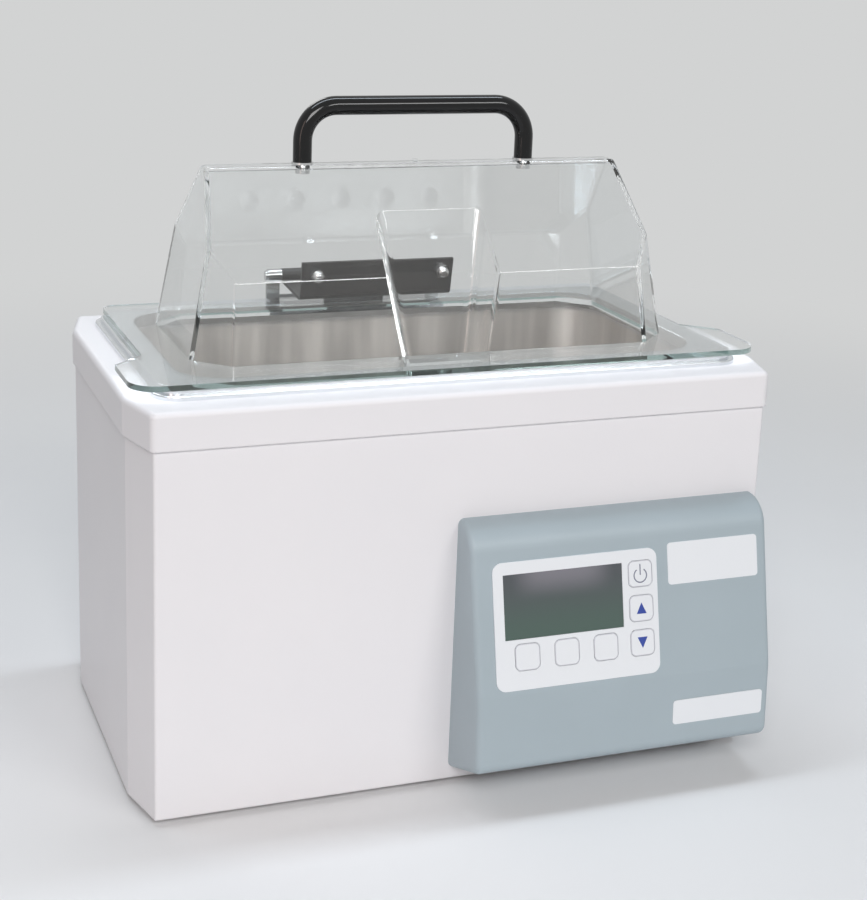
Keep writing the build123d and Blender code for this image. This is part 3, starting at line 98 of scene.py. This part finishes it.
def colour(red, green, blue):
    """A colour as it looks on screen, 0 to 255, in the linear light that shaders use."""
    levels = []
    for value in (red, green, blue):
        share = value / 255
        levels.append(share / 12.92 if share <= 0.04045 else ((share + 0.055) / 1.055) ** 2.4)
    return (*levels, 1.0)


def blend(mask, first, second):
    """The first colour where the mask is 0 and the second where it is 1."""
    return mask.node("ShaderNodeMix", {"data_type": "RGBA"}, {0: mask, 6: first, 7: second}, 2)


def place_on(wire, stretch=(1, 1, 1)):
    """The point on the piece in metres, squeezed along each axis by the stretch given."""
    here = wire.node("ShaderNodeTexCoord", output="Object")
    if stretch == (1, 1, 1):
        return here
    return wire.node("ShaderNodeMapping", {}, {"Vector": here, "Scale": stretch})


def parts_of(place):
    """The X, Y and Z of a vector, as three wires."""
    return [place.node("ShaderNodeSeparateXYZ", {}, {"Vector": place}, axis) for axis in "XYZ"]


def noise(place, per_metre, detail=2.0, roughness=0.5):
    """A soft random pattern from 0 to 1, with so many lumps to the metre."""
    return place.node("ShaderNodeTexNoise", {}, {
        "Vector": place, "Scale": per_metre, "Detail": detail, "Roughness": roughness}, "Fac")


def between(value, low, high):
    """0 below the low value, 1 above the high one and a smooth ramp between them."""
    return value.node("ShaderNodeMapRange", {"interpolation_type": "SMOOTHSTEP"}, {
        "Value": value, "From Min": low, "From Max": high})


def bumps(height, depth_mm, base=None):
    """A normal for a surface whose height pattern is so deep, on top of another normal."""
    sockets = {"Height": height, "Distance": depth_mm * MM}
    if base:
        sockets["Normal"] = base
    return height.node("ShaderNodeBump", {}, sockets)


def finish(name, build):
    """A new material from a function that is given a wire and returns the shader's wire."""
    material = bpy.data.materials.new(name)
    material.use_nodes = True
    material.node_tree.nodes.clear()
    wire = Wire(material.node_tree)
    wire.node("ShaderNodeOutputMaterial", {}, {"Surface": build(wire)})
    return material


def coat_with(material, *names):
    """Gives a material to CAD nodes, whose meshes stay as they are."""
    for name in names:
        slots = nodes[name].data.materials
        slots.clear()
        slots.append(material)
    print(material.name, "on", len(names), "nodes")


# %% [markdown]
# ## Powder coat
# The casing is sheet steel with baked white powder paint. The powder melts into a satin skin
# with a fine orange peel, about a millimetre across and only hundredths deep. A bump does that
# well, since it never shows in the outline. Broad, faint clouds in colour and gloss keep a
# large plain panel from looking like paper. Folded sheet has no knife edges either, so a Bevel
# node turns the normals over the last millimetre, and each fold catches a thin line of light.

# %% White powder coat
PAINT_CLOUDS_PER_METRE = 11.0
PEEL_PER_METRE = 800.0
PEEL_DEPTH_MM = 0.03
FOLD_R_MM = 1.2
SATIN = 0.36
SATIN_CHANGE = 0.1


def powder_coat(light, shade):
    def build(wire):
        place = place_on(wire)
        cloud = noise(place, PAINT_CLOUDS_PER_METRE, 4.0)
        peel = noise(place, PEEL_PER_METRE, 1.0)
        fold = wire.node("ShaderNodeBevel", {"samples": 4}, {"Radius": FOLD_R_MM * MM})
        return wire.node("ShaderNodeBsdfPrincipled", {}, {
            "Base Color": blend(cloud, light, shade),
            "Roughness": SATIN + SATIN_CHANGE * cloud,
            "Specular IOR Level": 0.5,
            "Normal": bumps(peel, PEEL_DEPTH_MM, fold),
        })
    return build


body_paint = finish("powder_coat_white", powder_coat(
    colour(236, 234, 236), colour(230, 229, 232)))
coat_with(body_paint, "body_shell", "deck_cap", "base_plate", "rear_panel")

# %% [markdown]
# ## Stainless steel
# The tank is deep-drawn: the punch drags the sheet down and leaves soft upright streaks. Its
# rim is polished after that, so the gloss changes at the deck's height. The tray is brushed
# sheet. All are metal with a broken-up gloss, and mostly the direction of the streaks differs,
# so one function makes them from a stretched noise.

# %% Drawn and brushed steel
deck_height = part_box("deck_cap")[1].z
RIM_GLOSS = 0.16
RIM_GLOSS_CHANGE = 0.06
RIM_TINT = colour(222, 225, 228)
POLISH_BAND = 6 * MM
STEEL_CLOUDS_PER_METRE = 14.0
LINE_DEPTH_MM = 0.006
STREAK_SHARE = 0.6


def steel(streaks, tint, low_gloss, high_gloss, depth=0.08, polished_rim=False):
    """Metal with streaks that are finest along the axes with the largest stretch."""
    def build(wire):
        place = place_on(wire)
        lines = noise(place_on(wire, streaks), 1.0, 3.0)
        cloud = noise(place, STEEL_CLOUDS_PER_METRE, 3.0)
        streak = between(lines, 0.3, 0.7)
        mottle = STREAK_SHARE * streak + (1 - STREAK_SHARE) * cloud
        gloss = low_gloss + (high_gloss - low_gloss) * mottle
        dark = tuple((1 - depth) * level for level in tint[:3]) + (1.0,)
        surface = blend(streak, dark, tint)
        if polished_rim:
            height = parts_of(place)[2]
            inside = 1 - between(height, deck_height - POLISH_BAND, deck_height)
            gloss = RIM_GLOSS + RIM_GLOSS_CHANGE * cloud + inside * (gloss - RIM_GLOSS)
            surface = blend(inside, RIM_TINT, surface)
        return wire.node("ShaderNodeBsdfPrincipled", {}, {
            "Base Color": surface,
            "Metallic": 1.0,
            "Roughness": gloss,
            "Normal": bumps(lines, LINE_DEPTH_MM),
        })
    return build


drawn_steel = finish("drawn_stainless", steel(
    (55, 55, 4), colour(230, 225, 220), 0.34, 0.5, depth=0.25, polished_rim=True))
sheet_steel = finish("brushed_stainless", steel(
    (9, 500, 500), colour(160, 157, 153), 0.3, 0.48))
zinc = finish("zinc_plate", steel((90, 90, 90), colour(216, 216, 216), 0.12, 0.3))
coat_with(drawn_steel, "tank")
coat_with(sheet_steel, "diffuser_tray", "tank_brackets", "temperature_sensor")
coat_with(zinc, "hinge_nuts", "hinge_bolts", "hinge_pin", "hinge_base_plate",
          "hinge_base_screws", "handle_washers", "handle_screws", "foot_screws",
          "rear_panel_screws", "inlet_screws", "housing_screws")

# %% [markdown]
# ## Clear moulded plastic
# The lid is one clear injection moulding, three millimetres thick. Faces look almost empty,
# while light that runs along the sheet leaves it at the cut edge, which looks deep grey green.
# A mask finds the flange's outer edge by its place and its level normal, and tints only that.
# Both are measured on the lid itself, so the tint stays put when the lid swings open.
# With the plastic's real index every bend would trap the light and turn black, because a path
# tracer follows only so many bounces. So the sheet bends light only a little, a clear coat
# brings back the reflections, and faces that are seen at a slant turn greyer by Layer Weight,
# which draws the bends. A ray that has still been turned too often goes straight on through a
# plain transparent shader. Shadow rays do so at once, since a clear sheet throws hardly any
# shadow.

# %% Clear lid
lid_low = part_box("lid_cover")[0].z
tank_low, tank_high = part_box("tank")
tank_middle_y = (tank_low.y + tank_high.y) / 2
EDGE_BAND = 9.5 * MM
EDGE_FROM_X = 150 * MM
EDGE_FROM_Y = 75 * MM
CUT_EDGE_TINT = colour(112, 142, 138)
FACE_ON_TINT = colour(250, 251, 251)
SLANT_TINT = colour(216, 222, 223)
WAVES_PER_METRE = 26.0
WAVE_DEPTH_MM = 0.04
SOFT_INDEX = 1.25
MOST_TURNS = 4


def clear_plastic(wire):
    place = place_on(wire)
    wave = noise(place, WAVES_PER_METRE, 2.0)
    across, deep, height = parts_of(place)
    level = parts_of(wire.node("ShaderNodeTexCoord", output="Normal"))[2]
    upright = 1 - between(level * level, 0.02, 0.2)
    low_down = 1 - between(height, lid_low + EDGE_BAND, lid_low + EDGE_BAND + 0.5 * MM)
    ahead = deep - tank_middle_y
    far_out = across.maths(
        "MAXIMUM", between(across * across, (EDGE_FROM_X - MM) ** 2, EDGE_FROM_X ** 2),
        between(ahead * ahead, (EDGE_FROM_Y - MM) ** 2, EDGE_FROM_Y ** 2))
    facing = wire.node("ShaderNodeLayerWeight", {}, {"Blend": 0.5}, "Facing")
    sheet = blend(between(facing, 0.45, 1.0), FACE_ON_TINT, SLANT_TINT)
    glass = wire.node("ShaderNodeBsdfPrincipled", {}, {
        "Base Color": blend(upright * low_down * far_out, sheet, CUT_EDGE_TINT),
        "Roughness": 0.01 + 0.02 * wave,
        "IOR": SOFT_INDEX,
        "Transmission Weight": 1.0,
        "Coat Weight": 1.0,
        "Coat Roughness": 0.02,
        "Normal": bumps(wave, WAVE_DEPTH_MM),
    })
    shadow = wire.node("ShaderNodeLightPath", output="Is Shadow Ray")
    turns = wire.node("ShaderNodeLightPath", output="Ray Depth")
    trapped = between(turns, MOST_TURNS, MOST_TURNS + 1)
    straight = wire.node("ShaderNodeBsdfTransparent", {}, {"Color": colour(246, 247, 247)})
    let_go = shadow.maths("MAXIMUM", shadow, trapped)
    return wire.node("ShaderNodeMixShader", {}, {0: let_go, 1: glass, 2: straight})


coat_with(finish("clear_moulded_plastic", clear_plastic), "lid_cover")

# %% [markdown]
# ## Glossy and satin mouldings
# The handle is a steel bar dipped in black gloss plastic, so it is smooth with slow waves. The
# control housing is a satin moulding: its mould was etched with a fine grain that scatters
# highlights. The same function makes both, and the rubber and plastic of the small parts as
# well, with other numbers. The shine is lower on the handle, because a pale studio would
# otherwise turn its black to grey.

# %% Moulded plastics and rubber
PLASTIC_CLOUDS_PER_METRE = 18.0
GLOSS_CHANGE = 0.08


def moulding(light, shade, gloss, grain_per_metre, grain_depth_mm, shine=0.5):
    def build(wire):
        place = place_on(wire)
        cloud = noise(place, PLASTIC_CLOUDS_PER_METRE, 3.0)
        grain = noise(place, grain_per_metre, 2.0)
        return wire.node("ShaderNodeBsdfPrincipled", {}, {
            "Base Color": blend(cloud, light, shade),
            "Roughness": gloss + GLOSS_CHANGE * cloud,
            "Specular IOR Level": shine,
            "Normal": bumps(grain, grain_depth_mm),
        })
    return build


black_dip = finish("black_gloss_dip", moulding(
    colour(8, 8, 9), colour(12, 12, 13), 0.06, 110.0, 0.04, shine=0.4))
leaf_paint = finish("dark_hinge_paint", moulding(
    colour(46, 43, 41), colour(38, 36, 35), 0.4, 900.0, 0.02))
housing_plastic = finish("grained_grey_plastic", moulding(
    colour(169, 182, 189), colour(161, 174, 180), 0.4, 1500.0, 0.035))
black_plastic = finish("black_moulded_plastic", moulding(
    colour(34, 34, 35), colour(28, 28, 29), 0.45, 1200.0, 0.03))
rubber = finish("black_rubber", moulding(
    colour(36, 36, 36), colour(27, 27, 27), 0.72, 700.0, 0.05))
red_rubber = finish("red_silicone", moulding(
    colour(168, 62, 44), colour(150, 52, 38), 0.6, 500.0, 0.08))
coat_with(black_dip, "lid_handle")
coat_with(leaf_paint, "hinge_lid_plate")
coat_with(housing_plastic, "control_housing")
coat_with(black_plastic, "mains_inlet", "solid_state_relay", "key_switches")
coat_with(rubber, "rubber_feet", "tank_gasket", "cable_grommet")
coat_with(red_rubber, "heater_mat")

# %% [markdown]
# ## Keypad film, plates and display
# The keypad is a printed polyester film, and the two plates beside it are the same film left
# bare. The display is a grey green liquid crystal behind a glossy pane. It is off, so its own
# colour is the green below; the soft change to warm grey at its top, and a lighter patch up its
# middle, are a painted reflection of the room, laid on by height.

# %% Film and display
KEYS = ("key_power", "key_up", "key_down", "key_soft_left", "key_soft_middle", "key_soft_right")
film = finish("printed_film", moulding(
    colour(232, 235, 238), colour(228, 231, 235), 0.34, 2200.0, 0.008))
coat_with(film, "keypad_overlay", "upper_label", "lower_label", *KEYS)

pane_low, pane_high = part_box("display_window")
# Where the painted reflection on the pane starts, and how strongly it lightens the pane.
PAINTED_REFLECTION_FROM = 18 * MM
PAINTED_REFLECTION_SHARE = 0.75
CELLS_PER_METRE = 3000.0


def display(wire):
    place = place_on(wire)
    across, _, height = parts_of(place)
    half = (pane_high.x - pane_low.x) / 2
    aside = across - (pane_low.x + pane_high.x) / 2
    up = between(height, pane_low.z, pane_high.z)
    # Green below is the crystal's own colour; the grey at its top is a painted reflection of the
    # room.
    body = blend(up, colour(78, 97, 90), colour(82, 86, 90))
    # A lighter patch up the middle of the upper part: a painted reflection, not light from the
    # display.
    backdrop_glow_and_painted_reflection = between(height, pane_low.z + PAINTED_REFLECTION_FROM, pane_high.z) * (
        1 - between(aside * aside, (0.2 * half) ** 2, (0.9 * half) ** 2))
    cells = noise(place, CELLS_PER_METRE, 1.0)
    return wire.node("ShaderNodeBsdfPrincipled", {}, {
        "Base Color": blend(PAINTED_REFLECTION_SHARE * backdrop_glow_and_painted_reflection, body, colour(136, 134, 142)),
        "Roughness": 0.16 + 0.05 * cells,
    })


coat_with(finish("liquid_crystal_pane", display), "display_window")

# %% [markdown]
# ## Inside the casing
# The inner parts show only when the bath is opened, and still get their own finish. Board
# laminate is green with faint copper traces, which a brick pattern suggests. Mineral wool is a
# felt of fibres, and the heat sink and pins are plain metals.

# %% Boards, wool and small metals
def laminate(wire):
    place = place_on(wire, (260, 260, 260))
    traces = wire.node("ShaderNodeTexBrick", {"offset": 0.37}, {
        "Vector": place, "Scale": 1.0, "Mortar Size": 0.04, "Mortar Smooth": 0.2,
        "Brick Width": 1.7, "Row Height": 0.6}, "Fac")
    return wire.node("ShaderNodeBsdfPrincipled", {}, {
        "Base Color": blend(traces, colour(34, 92, 56), colour(58, 122, 78)),
        "Roughness": 0.3 + 0.2 * traces,
        "Normal": bumps(traces, 0.03),
    })


def wool(wire):
    fibres = noise(place_on(wire, (900, 900, 300)), 1.0, 6.0, 0.7)
    return wire.node("ShaderNodeBsdfPrincipled", {}, {
        "Base Color": blend(fibres, colour(186, 178, 152), colour(226, 220, 200)),
        "Roughness": 0.9 + 0.1 * fibres,
        "Normal": bumps(fibres, 0.8),
    })


board = finish("board_laminate", laminate)
aluminium = finish("extruded_aluminium", steel((8, 700, 700), colour(200, 202, 204), 0.3, 0.5))
brass = finish("plated_brass", steel((600, 30, 600), colour(214, 202, 168), 0.2, 0.4))
coat_with(board, "control_board", "display_module", "power_board")
coat_with(finish("mineral_wool", wool), "tank_insulation")
coat_with(aluminium, "relay_heat_sink", "limit_thermostat")
coat_with(brass, "inlet_pins")

# %% [markdown]
# ## Printing on the keys
# Each key has a thin grey frame, and three carry a sign: a ring with a bar for power, and a
# triangle up or down. Print has crisp edges, so the signs are thin cut shapes that lie on the
# key's top and ride with it, drawn in the plane of the keypad's sloping face.

# %% Keypad plane
def mean_normal(node):
    """The direction that most of a flat piece's upper side looks in."""
    facing = max(nodes[node].data.polygons, key=lambda face: face.area).normal.copy()
    return -facing if facing.y > 0 else facing


face_out = mean_normal("display_window")
ACROSS = Vector((1, 0, 0))
END_SLACK = 0.02 * MM


def top_of(points, out):
    """The middle of the flat end of a form that looks along out, and its half width."""
    along = out.cross(ACROSS)
    reach = max(p.dot(out) for p in points)
    end = [p for p in points if reach - p.dot(out) < END_SLACK]
    right = [p.dot(ACROSS) for p in end]
    up = [p.dot(along) for p in end]
    middle = ACROSS * (min(right) + max(right)) / 2 + along * (min(up) + max(up)) / 2
    return middle + out * reach, (max(right) - min(right)) / 2


def key_top(node):
    return top_of([v.co for v in nodes[node].data.vertices], face_out)


print("keypad faces", [round(x, 3) for x in face_out], "key half width in mm",
      round(key_top("key_up")[1] / MM, 2))

# %% Cut shapes
PRINT_THICK = 0.03 * MM


def arc(radius, start, end, steps):
    """Points round an arc, angles in degrees from the right and turning left."""
    angles = [math.radians(start + (end - start) * i / steps) for i in range(steps + 1)]
    return [(radius * math.cos(a), radius * math.sin(a)) for a in angles]


def rounded_square(half, radius, steps=6):
    """The outline of a square with round corners."""
    points = []
    for quarter, (x, y) in enumerate(((1, 1), (-1, 1), (-1, -1), (1, -1))):
        centre_x, centre_y = x * (half - radius), y * (half - radius)
        for dx, dy in arc(radius, 90 * quarter, 90 * quarter + 90, steps):
            points.append((centre_x + dx, centre_y + dy))
    return points


def cut_shapes(name, middles, out, loops, surface):
    """Thin shapes on flat places that look along out: one loop is filled, two make a frame."""
    to_place = Matrix((ACROSS, out.cross(ACROSS), out)).transposed().to_4x4()
    mesh = bmesh.new()
    for middle in middles:
        rings = [[mesh.verts.new((x, y, 0)) for x, y in loop] for loop in loops]
        if len(rings) == 1:
            flat = [mesh.faces.new(rings[0])]
        else:
            outer, inner = rings
            flat = [mesh.faces.new((outer[i - 1], outer[i], inner[i], inner[i - 1]))
                    for i in range(len(outer))]
        raised = bmesh.ops.extrude_face_region(mesh, geom=flat)["geom"]
        corners = [item for item in raised if isinstance(item, bmesh.types.BMVert)]
        bmesh.ops.translate(mesh, vec=(0, 0, PRINT_THICK), verts=corners)
        made = list({corner for face in flat for corner in face.verts} | set(corners))
        bmesh.ops.transform(mesh, matrix=Matrix.Translation(middle) @ to_place, verts=made)
    bmesh.ops.recalc_face_normals(mesh, faces=mesh.faces)
    data = bpy.data.meshes.new(name)
    mesh.to_mesh(data)
    mesh.free()
    data.materials.append(surface)
    piece = bpy.data.objects.new(name, data)
    bpy.context.scene.collection.objects.link(piece)
    return piece


def printed(name, key, loops, colouring):
    """A thin printed shape on a key."""
    piece = cut_shapes(name, [key_top(key)[0]], face_out, loops, colouring)
    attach(piece, key + "_cap")


# %% Frames and signs on the keys
def ink(name, light, shade):
    """A printed colour, satin and hardly rough."""
    return finish(name, moulding(light, shade, 0.4, 2500.0, 0.004))


grey_ink = ink("grey_ink", colour(128, 132, 148), colour(120, 124, 140))
frame_ink = ink("frame_ink", colour(204, 204, 211), colour(198, 199, 207))
blue_ink = ink("blue_ink", colour(52, 76, 160), colour(46, 68, 150))
FRAME_INSET = 0.05 * MM
FRAME_WIDTH = 0.35 * MM
FRAME_CORNER = 3.0 * MM
key_half = key_top("key_up")[1]
for key in KEYS:
    outer = rounded_square(key_half - FRAME_INSET, FRAME_CORNER)
    inner = rounded_square(key_half - FRAME_INSET - FRAME_WIDTH, FRAME_CORNER - FRAME_WIDTH)
    printed(key + "_frame", key, [outer, inner], frame_ink)

RING_R = 4.1 * MM
RING_DROP = 1.0 * MM
LINE = 0.7 * MM
RING_GAP = 34
RING_STEPS = 40
BAR_TOP = 5.2 * MM
BAR_LOW = -0.7 * MM
ring, inside = [arc(radius, 90 + RING_GAP, 450 - RING_GAP, RING_STEPS)
                for radius in (RING_R, RING_R - LINE)]
ring_loop = [(x, y - RING_DROP) for x, y in ring + inside[::-1]]
bar_loop = [(-LINE / 2, BAR_LOW), (LINE / 2, BAR_LOW), (LINE / 2, BAR_TOP), (-LINE / 2, BAR_TOP)]
printed("power_ring", "key_power", [ring_loop], grey_ink)
printed("power_bar", "key_power", [bar_loop], grey_ink)
ARROW_HALF = 3.0 * MM
ARROW_TALL = 6.1 * MM
for key, way in (("key_up", 1), ("key_down", -1)):
    base = -way * ARROW_TALL / 2
    printed(key + "_sign", key, [[(-ARROW_HALF, base), (ARROW_HALF, base), (0, -base)]], blue_ink)

# %% [markdown]
# ## Painted shade in the screws' driver recesses
# The screw heads have a cross for the driver. A boolean would cut it, but a recess this small
# shows only as the shade inside it, so a dark cross that lies on each head paints that shade
# with a dozen faces. The heads are found as the loose parts of a node's mesh, whose doubled
# vertices are merged first in a copy. The inlet's screws stay plain, because they stand furthest
# out and a cross on them would make the bath a hair deeper.

# %% Painted shade crosses on the screw heads
CROSS_LONG = 0.55
CROSS_WIDE = 0.16
LEAN = math.radians(10)
MERGE_WITHIN = 0.001 * MM
HEADS = {
    "rear_panel_screws": (Vector((0, 1, 0)), "casing"),
    "hinge_base_screws": (Vector((0, 0, 1)), "casing"),
    "foot_screws": (Vector((0, 0, -1)), "casing"),
    "hinge_bolts": (Vector((0, math.cos(LEAN), math.sin(LEAN))), "lid"),
    "handle_screws": (Vector((0, 0, -1)), "lid"),
}


def loose_parts(node):
    """The points of each loose part of a node's mesh."""
    mesh = bmesh.new()
    mesh.from_mesh(nodes[node].data)
    bmesh.ops.remove_doubles(mesh, verts=mesh.verts, dist=MERGE_WITHIN)
    left = set(mesh.verts)
    parts = []
    while left:
        part = []
        queue = [left.pop()]
        while queue:
            corner = queue.pop()
            part.append(corner.co.copy())
            for edge in corner.link_edges:
                other = edge.other_vert(corner)
                if other in left:
                    left.discard(other)
                    queue.append(other)
        parts.append(part)
    mesh.free()
    return parts


# Painted shade: this dark colour stands in for the shade inside each driver recess.
recess_shade = finish("dark_recess", moulding(colour(52, 52, 53), colour(38, 38, 39), 0.5, 1500.0, 0.02))
for node, (out, body) in HEADS.items():
    tops = [top_of(part, out) for part in loose_parts(node)]
    half = tops[0][1]
    long, wide = CROSS_LONG * half, CROSS_WIDE * half
    quarter = [(wide, wide), (wide, long), (-wide, long)]
    cross = []
    for _ in range(4):
        cross += quarter
        quarter = [(-y, x) for x, y in quarter]
    piece = cut_shapes(node + "_recess", [top for top, _ in tops], out, [cross], recess_shade)
    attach(piece, body)
    print(node, "heads:", len(tops), "half width in mm:", round(half / MM, 2))

# %% [markdown]
# ## Floor and backdrop
# The studio is one pale sweep without corners. The floor close to the bath is matt and takes
# its shadow. Further out it fades to the colour of the world round it, so no horizon shows from
# any side. Metal and clear plastic see that same colour, which is why glossy and transmitted
# rays are let through to it as well as camera rays. All other rays meet a dimmer one, so that
# most of the light comes from the lamps and the body's sides differ in tone.

# %% Floor and world
BACKDROP = colour(210, 211, 211)
AMBIENT = 0.3
FLOOR_R = 6.0
FADE_FROM = 0.35
FADE_TO = 1.3


def looked_at(wire):
    """1 for rays that show the backdrop, in the picture, in a reflection or through glass."""
    seen, mirrored, through = [wire.node("ShaderNodeLightPath", output=ray) for ray in (
        "Is Camera Ray", "Is Glossy Ray", "Is Transmission Ray")]
    return seen.maths("MAXIMUM", seen.maths("MAXIMUM", seen, mirrored), through)


def floor_surface(wire):
    place = place_on(wire)
    away = wire.node("ShaderNodeVectorMath", {"operation": "LENGTH"}, {0: place}, "Value")
    cloud = noise(place, 5.0, 3.0)
    matt = wire.node("ShaderNodeBsdfPrincipled", {}, {
        "Base Color": blend(cloud, colour(232, 232, 232), colour(227, 227, 228)),
        "Roughness": 0.6 + 0.1 * cloud,
        "Specular IOR Level": 0.2,
    })
    dim, bright = [wire.node("ShaderNodeEmission", {}, {"Color": BACKDROP, "Strength": strength})
                   for strength in (AMBIENT, 1.0)]
    backdrop_glow_and_painted_reflection = wire.node("ShaderNodeMixShader", {}, {0: looked_at(wire), 1: dim, 2: bright})
    fade = between(away, FADE_FROM, FADE_TO)
    return wire.node("ShaderNodeMixShader", {}, {0: fade, 1: matt, 2: backdrop_glow_and_painted_reflection})


mesh = bmesh.new()
bmesh.ops.create_circle(mesh, cap_ends=True, segments=96, radius=FLOOR_R)
floor_data = bpy.data.meshes.new("floor")
mesh.to_mesh(floor_data)
mesh.free()
floor_data.materials.append(finish("pale_floor", floor_surface))
floor = bpy.data.objects.new("floor", floor_data)
bpy.context.scene.collection.objects.link(floor)

world = bpy.data.worlds.new("studio")
world.use_nodes = True
world.node_tree.nodes.clear()
sky = Wire(world.node_tree)
level = AMBIENT + (1 - AMBIENT) * looked_at(sky)
light = sky.node("ShaderNodeBackground", {}, {"Color": BACKDROP, "Strength": level})
sky.node("ShaderNodeOutputWorld", {}, {"Surface": light})
bpy.context.scene.world = world
print("floor radius in metres:", FLOOR_R)

# %% [markdown]
# ## Lamps
# The key lamp stands high in front, a little to the left, so the front panel is the brightest
# face and the left side falls into soft shade. A long cool strip overhead gives level faces
# their bluish tone and lies as a bright line on the handle. The clear lid needs lamps of its
# own, since it shows little but reflections. A bend acts as a mirror that is curved one way, so
# a long lamp across on the right lights up the level bends, and a tall one on the left the
# upright bends. The last lamp stands behind, for whoever walks round the bath.

# %% Softboxes
AIM = Vector((0, 0, 0.18))


def softbox(name, place, width, height, watts, warmth):
    """A rectangular area lamp that looks at the middle of the bath."""
    lamp = bpy.data.lights.new(name, "AREA")
    lamp.shape = "RECTANGLE"
    lamp.size = width
    lamp.size_y = height
    lamp.energy = watts
    lamp.color = warmth
    holder = bpy.data.objects.new(name, lamp)
    holder.location = place
    holder.rotation_mode = "QUATERNION"
    holder.rotation_quaternion = (AIM - Vector(place)).to_track_quat("-Z", "Y")
    bpy.context.scene.collection.objects.link(holder)


softbox("key_lamp", (-0.6, -1.7, 1.3), 0.9, 0.7, 19.0, (1.0, 0.985, 0.985))
softbox("top_strip", (0.0, 0.16, 1.6), 1.6, 0.18, 11.0, (0.82, 0.91, 1.0))
softbox("level_bend_strip", (0.65, -1.6, 1.05), 0.8, 0.3, 7.5, (1.0, 1.0, 1.0))
softbox("upright_bend_strip", (-1.45, -1.25, 0.65), 0.3, 1.2, 3.2, (1.0, 0.74, 0.66))
softbox("back_lamp", (-0.15, 1.9, 1.45), 0.8, 0.5, 6.5, (1.0, 1.0, 1.0))

# %% [markdown]
# ## Camera
# The camera stands left of the middle and looks a little down, as the photographer did. Its
# place and turn were solved from the edges of the body, the lid and the keypad. The middle of
# the lens isn't the middle of the picture, because the picture is a crop, and the shift says so.

# %% Camera
PICTURE_LONG_SIDE = 900
FOCAL_PIXELS = 1729.8
CAMERA_AT = (-0.3415, -0.8870, 0.4677)
LOOK_DOWN = math.radians(14.73)
LOOK_RIGHT = math.radians(20.17)
TILT = math.radians(1.83)
SHIFT_PIXELS = (40, -90)
camera_data = bpy.data.cameras.new("camera")
camera_data.sensor_width = 36.0
camera_data.lens = FOCAL_PIXELS / PICTURE_LONG_SIDE * camera_data.sensor_width
camera_data.shift_x, camera_data.shift_y = [
    pixels / PICTURE_LONG_SIDE for pixels in SHIFT_PIXELS]
camera_data.clip_start = 0.05
camera = bpy.data.objects.new("camera", camera_data)
look = (Matrix.Rotation(-LOOK_RIGHT, 4, "Z")
        @ Matrix.Rotation(math.radians(90) - LOOK_DOWN, 4, "X")
        @ Matrix.Rotation(TILT, 4, "Z"))
camera.matrix_world = Matrix.Translation(CAMERA_AT) @ look
bpy.context.scene.collection.objects.link(camera)
bpy.context.scene.camera = camera
bpy.context.scene.view_settings.view_transform = "Standard"
print("lens in mm:", round(camera_data.lens, 2))
